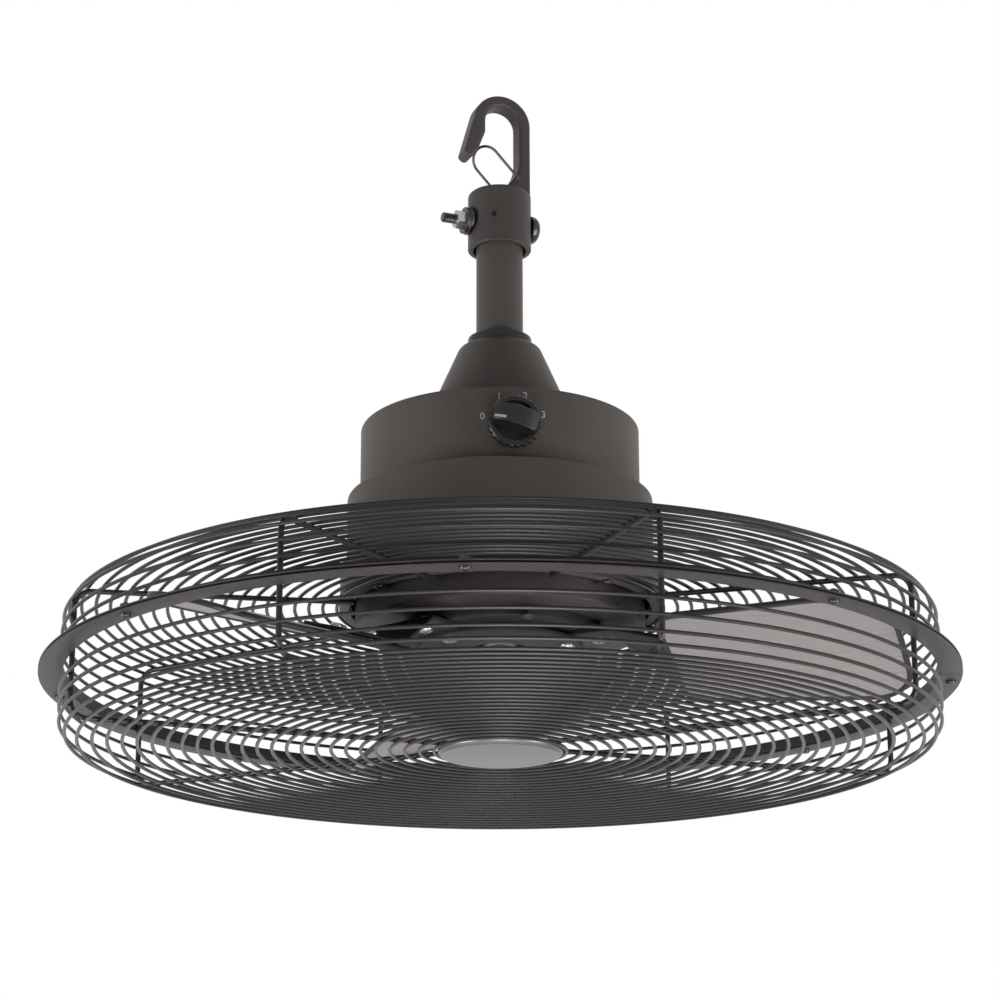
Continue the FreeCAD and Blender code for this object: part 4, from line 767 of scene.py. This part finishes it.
def rotor_bottom():
    """Round bottom of the rotor below the housing's lip, and the black hub that carries the arms."""
    inner = ROTOR_RADIUS - ROTOR_SHEET
    hole = HUB_RADIUS + HUB_GAP
    floor_top = ROTOR_LOW + ROTOR_SHEET
    shell = spun([(inner, ROTOR_TOP, 0), (ROTOR_RADIUS, ROTOR_TOP, 0), (ROTOR_RADIUS, ROTOR_LOW, ROTOR_EDGE),
                  (hole, ROTOR_LOW, ROTOR_HOLE_EDGE), (hole, floor_top, 0), (inner, floor_top, 0)])
    put("smooth_rotor_bottom", shell, "rotor", ROTOR_COAT, ["lower_bell"])
    hub = spun([(HUB_HOLE, floor_top, 0), (HUB_RADIUS, floor_top, 0), (HUB_RADIUS, BELL_BOTTOM, HUB_EDGE),
                (HUB_HOLE, BELL_BOTTOM, HUB_HOLE_EDGE)], steps=HUB_STEPS)
    put("smooth_rotor_hub", hub, "rotor", BELL_COAT, ["lower_bell"])


# Knob and dial

def printed_digit(number):
    """Flat mesh of one digit, raised by the depth of the print."""
    text = bpy.data.curves.new("dial_digit", "FONT")
    text.body = str(number)
    text.size = DIGIT_SIZE
    text.align_x = "CENTER"
    text.align_y = "CENTER"
    text.extrude = PRINT_DEPTH
    holder = bpy.data.objects.new("dial_digit", text)
    bpy.context.scene.collection.objects.link(holder)
    bpy.context.view_layer.update()
    shape = bpy.data.meshes.new_from_object(holder.evaluated_get(bpy.context.evaluated_depsgraph_get()))
    bm = bmesh.new()
    bm.from_mesh(shape)
    bpy.data.objects.remove(holder)
    bpy.data.curves.remove(text)
    bpy.data.meshes.remove(shape)
    return bm


def dial_digits():
    """Plain numbers printed round the knob, wrapped on the switch housing's wall."""
    meshes = []
    for number in range(DIAL_MARKS):
        angle = math.radians(number * DIAL_STEP - KNOB_REST)
        place = (DIAL_RADIUS * math.sin(angle), DIAL_RADIUS * math.cos(angle), 0)
        meshes.append(shifted(printed_digit(number), Matrix.Translation(place)))
    bm = joined(meshes)
    for v in bm.verts:
        a = math.radians(KNOB_ANGLE) + v.co.x / SWITCH_RADIUS
        radius = SWITCH_RADIUS + v.co.z
        v.co = (radius * math.cos(a), radius * math.sin(a), KNOB_Z + v.co.y)
    put("dial_numbers", bm, "frame", PALE_PRINT)


def knob_pointer():
    """Pale line on the pointing end of the knob's grip."""
    bm = bmesh.new()
    center_z = KNOB_DEPTH - KNOB_CROWN
    start, end = math.asin(POINTER_START / KNOB_CROWN), math.asin(POINTER_END / KNOB_CROWN)
    radius = KNOB_CROWN + PRINT_DEPTH / 2
    verts = [bm.verts.new((x, radius * math.sin(start), center_z + radius * math.cos(start)))
             for x in (POINTER_SIDE - POINTER_WIDTH / 2, POINTER_SIDE + POINTER_WIDTH / 2)]
    edge = bm.edges.new(verts)
    bmesh.ops.spin(bm, geom=verts + [edge], cent=(0, 0, center_z), axis=(1, 0, 0), angle=start - end,
                   steps=POINTER_STEPS)
    sheet = bmesh.ops.extrude_face_region(bm, geom=bm.faces[:], use_keep_orig=True)["geom"]
    bmesh.ops.translate(bm, verts=of_kind(sheet, BMVert), vec=(0, 0, -PRINT_DEPTH))
    place = (out_of_wall(KNOB_ANGLE, KNOB_Z) @ Matrix.Translation((0, 0, KNOB_BASE))
             @ Matrix.Rotation(math.radians(KNOB_REST), 4, "Z"))
    put("knob_pointer", shifted(bm, place), "knob", PALE_PRINT)


# Guard

def split_at_gaps(points, axis):
    """Split sorted points where one coordinate jumps by more than a wire's thickness."""
    groups = [[points[0]]]
    for before, point in zip(points, points[1:]):
        if point[axis] - before[axis] > 2 * RING_WIRE:
            groups.append([])
        groups[-1].append(point)
    return groups


def ring_places(node):
    """Radius and height of each ring of a solid, in millimetres."""
    points = sorted({(round(v.co.xy.length / MM, 1), round(v.co.z / MM, 1))
                     for v in frame["nodes"][node].data.vertices})
    places = []
    for band in split_at_gaps(points, 0):
        for wire in split_at_gaps(sorted(band, key=lambda p: p[1]), 1):
            radii, heights = [p[0] for p in wire], [p[1] for p in wire]
            places.append(((max(radii) + min(radii)) / 2, (max(heights) + min(heights)) / 2))
    return places


def guard_rings():
    """Rings of both guards, as smooth closed wire."""
    for node in ("upper_guard_rings", "upper_wall_rings", "lower_wall_rings", "lower_inner_rings",
                 "lower_outer_rings"):
        rings = joined([wire_ring(radius, height) for radius, height in ring_places(node)])
        put("smooth_" + node, rings, "frame", WIRE_COAT, [node])


def lower_guard_ribs():
    """Bent wires: down the wall, round the corner and in to the centre cap."""
    bend_z = LOWER_RIB_Z + RIB_WIRE + RIB_BEND
    top = RIM_Z - RIB_GAP
    bm = bmesh.new()
    loop = rib_start(bm, (RIB_WALL, 0, top), (0, 0, -1))
    loop = rib_run(bm, loop, (0, 0, bend_z - top))
    loop = rib_bend(bm, loop, (RIB_WALL - RIB_BEND, 0, bend_z), math.pi / 2)
    loop = rib_run(bm, loop, (LOWER_RIB_INNER - RIB_WALL + RIB_BEND, 0, 0))
    bmesh.ops.contextual_create(bm, geom=loop)
    put("smooth_lower_guard_ribs", repeat(bm, RIB_COUNT, RIB_START), "frame", WIRE_COAT, ["lower_guard_ribs"])


def upper_guard_ribs():
    """Bent wires: up the wall, round the corner and up the slope to the motor housing."""
    bend_end = RIB_WALL - RIB_BEND + RIB_BEND * math.sin(RIB_SLOPE)
    seat_z = MOTOR_BOTTOM + RIB_WIRE + RIB_GAP
    end_z = seat_z - (bend_end - RIB_SEAT_RADIUS) * math.tan(RIB_SLOPE)
    bend_z = end_z - RIB_BEND * math.cos(RIB_SLOPE)
    run = bend_end - UPPER_RIB_INNER
    low = RIM_Z + RIB_GAP
    bm = bmesh.new()
    loop = rib_start(bm, (RIB_WALL, 0, low), (0, 0, 1))
    loop = rib_run(bm, loop, (0, 0, bend_z - low))
    loop = rib_bend(bm, loop, (RIB_WALL - RIB_BEND, 0, bend_z), RIB_SLOPE - math.pi / 2)
    loop = rib_run(bm, loop, (-run, 0, run * math.tan(RIB_SLOPE)))
    bmesh.ops.contextual_create(bm, geom=loop)
    put("smooth_upper_guard_ribs", repeat(bm, RIB_COUNT, RIB_START), "frame", WIRE_COAT, ["upper_guard_ribs"])


def guard_seat():
    """Ring under the motor housing that carries the inner ends of the ribs, and its screws."""
    bm = spun([(SEAT_RING_INNER, SEAT_RING_LOW, SEAT_RING_EDGE),
               (SEAT_RING_OUTER, SEAT_RING_LOW, SEAT_RING_EDGE),
               (SEAT_RING_OUTER, MOTOR_LIP, SEAT_RING_EDGE),
               (SEAT_RING_INNER, MOTOR_LIP, SEAT_RING_TOP_EDGE)])
    put("smooth_guard_mount_plate", bm, "frame", BRONZE, ["guard_mount_plate"])
    circle = (SEAT_RING_INNER + SEAT_RING_OUTER) / 2
    screw = shifted(cross_screw(SEAT_SCREW, MOTOR_LIP + SHELL_WALL - SEAT_RING_LOW),
                    Matrix.Translation((circle, 0, SEAT_RING_LOW)))
    put("smooth_guard_mount_screws", repeat(screw, SEAT_SCREW_COUNT, BETWEEN_RIBS), "frame", DARK_STEEL,
        ["guard_mount_screws"])


def rims():
    """Angle rim of the upper guard and flat rim of the lower one, parted by a groove at the edge."""
    leg_outer = RIM_INNER + RIM_SHEET
    groove = RIM_OUTER - RIM_GROOVE_DEPTH
    upper = spun([(RIM_INNER, RIM_Z, RIM_FOLD), (groove, RIM_Z, 0), (RIM_OUTER, RIM_Z + RIM_GROOVE, RIM_EDGE),
                  (RIM_OUTER, RIM_Z + RIM_SHEET, RIM_EDGE), (leg_outer, RIM_Z + RIM_SHEET, RIM_FOLD),
                  (leg_outer, RIM_Z + RIM_LEG, RIM_EDGE), (RIM_INNER, RIM_Z + RIM_LEG, RIM_EDGE)],
                 steps=RIM_STEPS, rounding_steps=3)
    put("smooth_upper_rim", upper, "frame", RIM_COAT, ["upper_rim"])
    lower = spun([(RIM_INNER, RIM_Z - RIM_SHEET, RIM_EDGE), (RIM_OUTER, RIM_Z - RIM_SHEET, RIM_EDGE),
                  (RIM_OUTER, RIM_Z - RIM_GROOVE, RIM_EDGE), (groove, RIM_Z, 0),
                  (RIM_INNER, RIM_Z, RIM_EDGE)], steps=RIM_STEPS, rounding_steps=3)
    put("smooth_lower_rim", lower, "frame", RIM_COAT, ["lower_rim"])


def rim_screws():
    """Cross-head screws under the rim."""
    seat = RIM_Z - RIM_SHEET
    bm = shifted(cross_screw(RIM_SCREW, level("rim_screws", HIGH) - seat),
                 Matrix.Translation((RIM_SCREW_CIRCLE, 0, seat)))
    put("smooth_rim_screws", repeat(bm, RIB_COUNT, BETWEEN_RIBS), "frame", DARK_STEEL, ["rim_screws"])


def centre_cap():
    """Turned satin cap in the middle of the lower guard."""
    slant = CAP_RADIUS - CAP_FACE_RADIUS
    bm = spun([(0, CAP_FACE, 0), (CAP_FACE_RADIUS, CAP_FACE, CAP_FACE_EDGE),
               (CAP_RADIUS, CAP_FACE + slant, CAP_FACE_EDGE), (CAP_RADIUS, CAP_TOP, CAP_TOP_EDGE),
               (0, CAP_TOP, 0)], steps=CAP_STEPS, hollow=False)
    put("smooth_centre_cap", bm, "frame", CAP_SATIN, ["centre_cap"])


# Blades

def blade_turn(number):
    """Matrix that turns a part of the rotor to a blade's angle."""
    return Matrix.Rotation(math.radians(BLADE_START + number * 360.0 / BLADE_COUNT), 4, "Z")


def blade_place(number):
    """Matrix from a blade's own plane to its place on the rotor."""
    return (blade_turn(number) @ Matrix.Translation((0, 0, BLADE_Z))
            @ Matrix.Rotation(math.radians(-BLADE_PITCH), 4, "X"))


def blade_plan():
    """Flat plan form of a blade with its corners rounded."""
    bm = bmesh.new()
    corners = [(BLADE_ROOT, -BLADE_LEAD_ROOT, BLADE_ROOT_CORNER),
               (BLADE_TIP, -BLADE_LEAD_TIP, BLADE_LEAD_CORNER),
               (BLADE_TIP, BLADE_TRAIL_TIP, BLADE_CORNER),
               (BLADE_ROOT, BLADE_TRAIL_ROOT, BLADE_ROOT_CORNER)]
    verts = [bm.verts.new((x, y, 0)) for x, y, _ in corners]
    bm.faces.new(verts)
    for vert, (_, _, radius) in zip(verts, corners):
        bmesh.ops.bevel(bm, geom=[vert], offset=radius, offset_type="OFFSET", affect="VERTICES",
                        segments=BLADE_CORNER_STEPS, profile=0.5, material=-1)
    bm.normal_update()
    return bm


def inset_plan(width):
    """Plan form of a blade parted at a width from its edge, with its inner and its edge faces."""
    bm = blade_plan()
    inner = bm.faces[:]
    edge = bmesh.ops.inset_individual(bm, faces=inner, thickness=width, use_even_offset=True)["faces"]
    return bm, inner, edge


def crowned(bm, thickness):
    """Cut a flat plan into strips, crown it across the blade and give it a thickness."""
    place = -BLADE_LEAD_TIP + BLADE_STRIP
    while place < BLADE_TRAIL_TIP:
        bmesh.ops.bisect_plane(bm, geom=bm.verts[:] + bm.edges[:] + bm.faces[:], plane_co=(0, place, 0),
                               plane_no=(0, 1, 0))
        place += BLADE_STRIP
    for v in bm.verts:
        v.co.z = math.sqrt(BLADE_CURVE ** 2 - v.co.y ** 2) - BLADE_CURVE + BLADE_CROWN + thickness / 2
    made = bmesh.ops.extrude_face_region(bm, geom=bm.faces[:], use_keep_orig=True)["geom"]
    bmesh.ops.translate(bm, verts=of_kind(made, BMVert), vec=(0, 0, -thickness))
    bmesh.ops.recalc_face_normals(bm, faces=bm.faces)


def blade_sheet():
    """One blade in its own plane, its edge inside the rolled one, its plan kept for the brushed lines."""
    bm, _, edge = inset_plan(BLADE_BEAD / 2)
    bmesh.ops.delete(bm, geom=edge, context="FACES")
    crowned(bm, BLADE_SHEET)
    plan = bm.loops.layers.uv.new("plan")
    for face in bm.faces:
        for loop in face.loops:
            loop[plan].uv = loop.vert.co.xy * MM
    return bm


def blade_bead():
    """Rolled edge all round a blade, coloured near black as painted shade."""
    bm, inner, _ = inset_plan(BLADE_BEAD)
    bmesh.ops.delete(bm, geom=inner, context="FACES")
    crowned(bm, BLADE_BEAD)
    along = [e for e in creases(bm) if abs(e.verts[0].co.z - e.verts[1].co.z) < BLADE_BEAD / 2]
    rounded(bm, along, BLADE_BEAD_ROUND, steps=3)
    return bm


def blades():
    """Three pitched blades of brushed sheet, their rolled edges coloured near black as painted shade."""
    for number in range(BLADE_COUNT):
        node = f"blade_{number + 1}"
        put("smooth_" + node, shifted(blade_sheet(), blade_place(number)), "rotor", BLADE_METAL, [node])
        put(f"edge_of_{node}", shifted(blade_bead(), blade_place(number)), "rotor", EDGE_SHADE_COAT, [node])


def across_arm(place, along, width, low):
    """Matrix that lays a unit square across an arm at a distance along it."""
    turn = Matrix.Rotation(math.pi / 2, 4, "Y")
    size = Matrix.Diagonal((ARM_SHEET, width, 1, 1))
    return place @ Matrix.Translation((along, 0, low + ARM_SHEET / 2)) @ turn @ size


def blade_arms():
    """Pressed arms: flat foot under the hub, twisted neck and a pad on top of the blade."""
    for number in range(BLADE_COUNT):
        foot, pad = blade_turn(number), blade_place(number)
        sections = [across_arm(foot, ARM_FOOT[i], ARM_FOOT_WIDTH[i], ARM_FOOT_LOW) for i in range(2)]
        sections += [across_arm(pad, ARM_PAD[i], ARM_PAD_WIDTH[i], ARM_PAD_LOW) for i in range(2)]
        bm = bmesh.new()
        bmesh.ops.create_grid(bm, x_segments=1, y_segments=1, size=0.5, matrix=sections[0])
        end = bm.faces[:]
        for i in range(1, len(sections)):
            made = bmesh.ops.extrude_face_region(bm, geom=end, use_keep_orig=i == 1)["geom"]
            step = sections[i] @ sections[i - 1].inverted()
            bmesh.ops.transform(bm, matrix=step, verts=of_kind(made, BMVert))
            end = of_kind(made, BMFace)
        bmesh.ops.recalc_face_normals(bm, faces=bm.faces)
        rounded(bm, creases(bm), ARM_EDGE, steps=2)
        put(f"smooth_blade_arm_{number + 1}", bm, "rotor", ARM_COAT, [f"blade_arm_{number + 1}"])


def rotor_screws():
    """Cross-head screws down through the pads, and up through the feet of the arms."""
    on_blades, on_arms = [], []
    head_up = Matrix.Rotation(math.pi, 4, "X")
    for number in range(BLADE_COUNT):
        for x, y in BLADE_SCREW_PLACES:
            screw = cross_screw(BLADE_SCREW, ARM_SHEET + BLADE_SHEET)
            seat = Matrix.Translation((x, y, ARM_PAD_LOW + ARM_SHEET))
            on_blades.append(shifted(screw, blade_place(number) @ seat @ head_up))
        for radius in ARM_SCREW_RADII:
            seat = ARM_FOOT_LOW - (CLAMP_SHEET if radius < CLAMP_OUTER else 0)
            screw = cross_screw(ARM_SCREW, level("arm_screws", HIGH) - seat)
            on_arms.append(shifted(screw, blade_turn(number) @ Matrix.Translation((radius, 0, seat))))
    put("smooth_blade_screws", joined(on_blades), "rotor", ZINC, ["blade_screws"])
    put("smooth_arm_screws", joined(on_arms), "rotor", ZINC, ["arm_screws"])


def arm_clamp_plate():
    """Ring that clamps the feet of the arms."""
    low = ARM_FOOT_LOW - CLAMP_SHEET
    bm = spun([(CLAMP_INNER, low, CLAMP_HOLE_EDGE), (CLAMP_OUTER, low, CLAMP_EDGE),
               (CLAMP_OUTER, ARM_FOOT_LOW, 0), (CLAMP_INNER, ARM_FOOT_LOW, 0)], steps=CLAMP_STEPS)
    put("smooth_arm_clamp_plate", bm, "rotor", ARM_COAT, ["arm_clamp_plate"])


hook_bolt()
hook_bolt_washers()
downrod()
rod_seal()
yoke_cover()
switch_housing()
motor_housing()
rotor_bottom()
dial_digits()
knob_pointer()
guard_rings()
lower_guard_ribs()
upper_guard_ribs()
guard_seat()
rims()
rim_screws()
centre_cap()
blades()
blade_arms()
rotor_screws()
arm_clamp_plate()

# Finishes of the solids that stay, and of the hidden ones
for node, finish in {
    "hook": HOOK_COAT, "hook_gate": ZINC_WIRE, "hook_bolt": DARK_STEEL, "hook_bolt_washers": DARK_STEEL,
    "hook_nut": ZINC, "collar_set_screw": DARK_STEEL, "downrod": BRONZE, "rod_seal": BLACK_PLASTIC,
    "yoke_cover": BRONZE, "rod_coupling": CASTING, "coupling_pin": ZINC, "coupling_clip": ZINC_WIRE,
    "switch_housing": BRONZE, "spacer_sleeve": ZINC, "speed_switch": BLACK_PLASTIC, "switch_nut": ZINC,
    "switch_spindle": ZINC, "speed_knob": BLACK_PLASTIC, "run_capacitor": CAPACITOR,
    "cord_gland": BLACK_PLASTIC, "gland_nut": BLACK_PLASTIC, "motor_housing": BRONZE, "motor_shaft": CASTING,
    "shaft_clip": ZINC, "lower_bearing": BEARING, "upper_bearing": BEARING, "stator_core": CORE,
    "stator_windings": WINDING, "rotor_ring": CORE, "lower_bell": BELL_COAT, "upper_bell": BELL_COAT,
    "bell_screws": DARK_STEEL, "arm_clamp_plate": ARM_COAT, "arm_screws": ZINC, "blade_screws": ZINC,
    "guard_mount_plate": BRONZE, "guard_mount_screws": DARK_STEEL, "upper_guard_ribs": WIRE_COAT,
    "upper_guard_rings": WIRE_COAT, "upper_wall_rings": WIRE_COAT, "upper_rim": RIM_COAT,
    "lower_rim": RIM_COAT, "rim_screws": DARK_STEEL, "rim_nuts": DARK_STEEL, "lower_guard_ribs": WIRE_COAT,
    "lower_wall_rings": WIRE_COAT, "lower_inner_rings": WIRE_COAT, "lower_outer_rings": WIRE_COAT,
    "centre_cap": CAP_SATIN, "blade_1": ARM_COAT, "blade_2": ARM_COAT, "blade_3": ARM_COAT,
    "blade_arm_1": ARM_COAT, "blade_arm_2": ARM_COAT, "blade_arm_3": ARM_COAT,
}.items():
    mesh = frame["nodes"][node].data
    mesh.materials.clear()
    mesh.materials.append(finish)


# Stage, lamps and camera

def combined(tree, operation, first, second):
    """Output of a Math node on a socket and another socket or a number."""
    made = tree.nodes.new("ShaderNodeMath")
    made.operation = operation
    tree.links.new(first, made.inputs[0])
    if isinstance(second, float):
        made.inputs[1].default_value = second
    else:
        tree.links.new(second, made.inputs[1])
    return made.outputs["Value"]


def floor():
    """Pale studio floor below the hanging fan, white in reflections."""
    bm = bmesh.new()
    bmesh.ops.create_grid(bm, x_segments=1, y_segments=1, size=FLOOR_HALF,
                          matrix=Matrix.Translation((0, 0, FLOOR_Z)))
    mesh = bpy.data.meshes.new("floor")
    bm.to_mesh(mesh)
    bm.free()
    tree = FLOOR_PAINT.node_tree
    shader = next(n for n in tree.nodes if n.type == "BSDF_PRINCIPLED")
    path = tree.nodes.new("ShaderNodeLightPath")
    mirrored = combined(tree, "MAXIMUM", path.outputs["Is Glossy Ray"], path.outputs["Is Transmission Ray"])
    seen = combined(tree, "MULTIPLY", path.outputs["Is Camera Ray"], FLOOR_GLOW)
    tree.links.new(combined(tree, "MAXIMUM", seen, mirrored), shader.inputs["Emission Strength"])
    shader.inputs["Emission Color"].default_value = (1, 1, 1, 1)
    mesh.materials.append(FLOOR_PAINT)
    piece = bpy.data.objects.new("floor", mesh)
    bpy.context.scene.collection.objects.link(piece)


def world():
    """White to the camera and in reflections, a softer grey for the light it gives."""
    made = bpy.data.worlds.new("studio")
    bpy.context.scene.world = made
    made.use_nodes = True
    tree = made.node_tree
    back = next(n for n in tree.nodes if n.type == "BACKGROUND")
    path = tree.nodes.new("ShaderNodeLightPath")
    seen = combined(tree, "MAXIMUM", path.outputs["Is Camera Ray"], path.outputs["Is Glossy Ray"])
    strength = tree.nodes.new("ShaderNodeMapRange")
    strength.inputs["To Min"].default_value = WORLD_FILL
    strength.inputs["To Max"].default_value = 1.0
    shown = combined(tree, "MAXIMUM", seen, path.outputs["Is Transmission Ray"])
    tree.links.new(shown, strength.inputs["Value"])
    tree.links.new(strength.outputs["Result"], back.inputs["Strength"])
    back.inputs["Color"].default_value = (1, 1, 1, 1)


def softbox(name, place, size, power):
    """Rectangular area lamp turned to the fan."""
    lamp = bpy.data.lights.new(name, "AREA")
    lamp.shape = "RECTANGLE"
    lamp.size, lamp.size_y = size
    lamp.energy = power
    holder = bpy.data.objects.new(name, lamp)
    holder.location = place
    holder.rotation_euler = (Vector(LAMP_TARGET) - Vector(place)).to_track_quat("-Z", "Y").to_euler()
    bpy.context.scene.collection.objects.link(holder)


def lights():
    """Two tall side boxes and a box below the fan, towards the camera."""
    softbox("left_box", LEFT_BOX_PLACE, SIDE_BOX_SIZE, LEFT_BOX_POWER)
    softbox("right_box", RIGHT_BOX_PLACE, SIDE_BOX_SIZE, RIGHT_BOX_POWER)
    softbox("low_box", LOW_BOX_PLACE, LOW_BOX_SIZE, LOW_BOX_POWER)


def camera():
    """Camera a little below the fan, looking up at it."""
    made = bpy.data.cameras.new("camera")
    made.sensor_width = CAMERA_SENSOR
    made.lens = CAMERA_LENS
    made.clip_end = CAMERA_REACH
    holder = bpy.data.objects.new("camera", made)
    holder.location = CAMERA_PLACE
    pitch = Matrix.Rotation(math.radians(CAMERA_PITCH), 3, "X")
    holder.rotation_euler = (pitch @ Matrix.Rotation(math.radians(CAMERA_ROLL), 3, "Z")).to_euler()
    bpy.context.scene.collection.objects.link(holder)
    bpy.context.scene.camera = holder


floor()
world()
lights()
camera()
bpy.context.scene.view_settings.view_transform = "Standard"
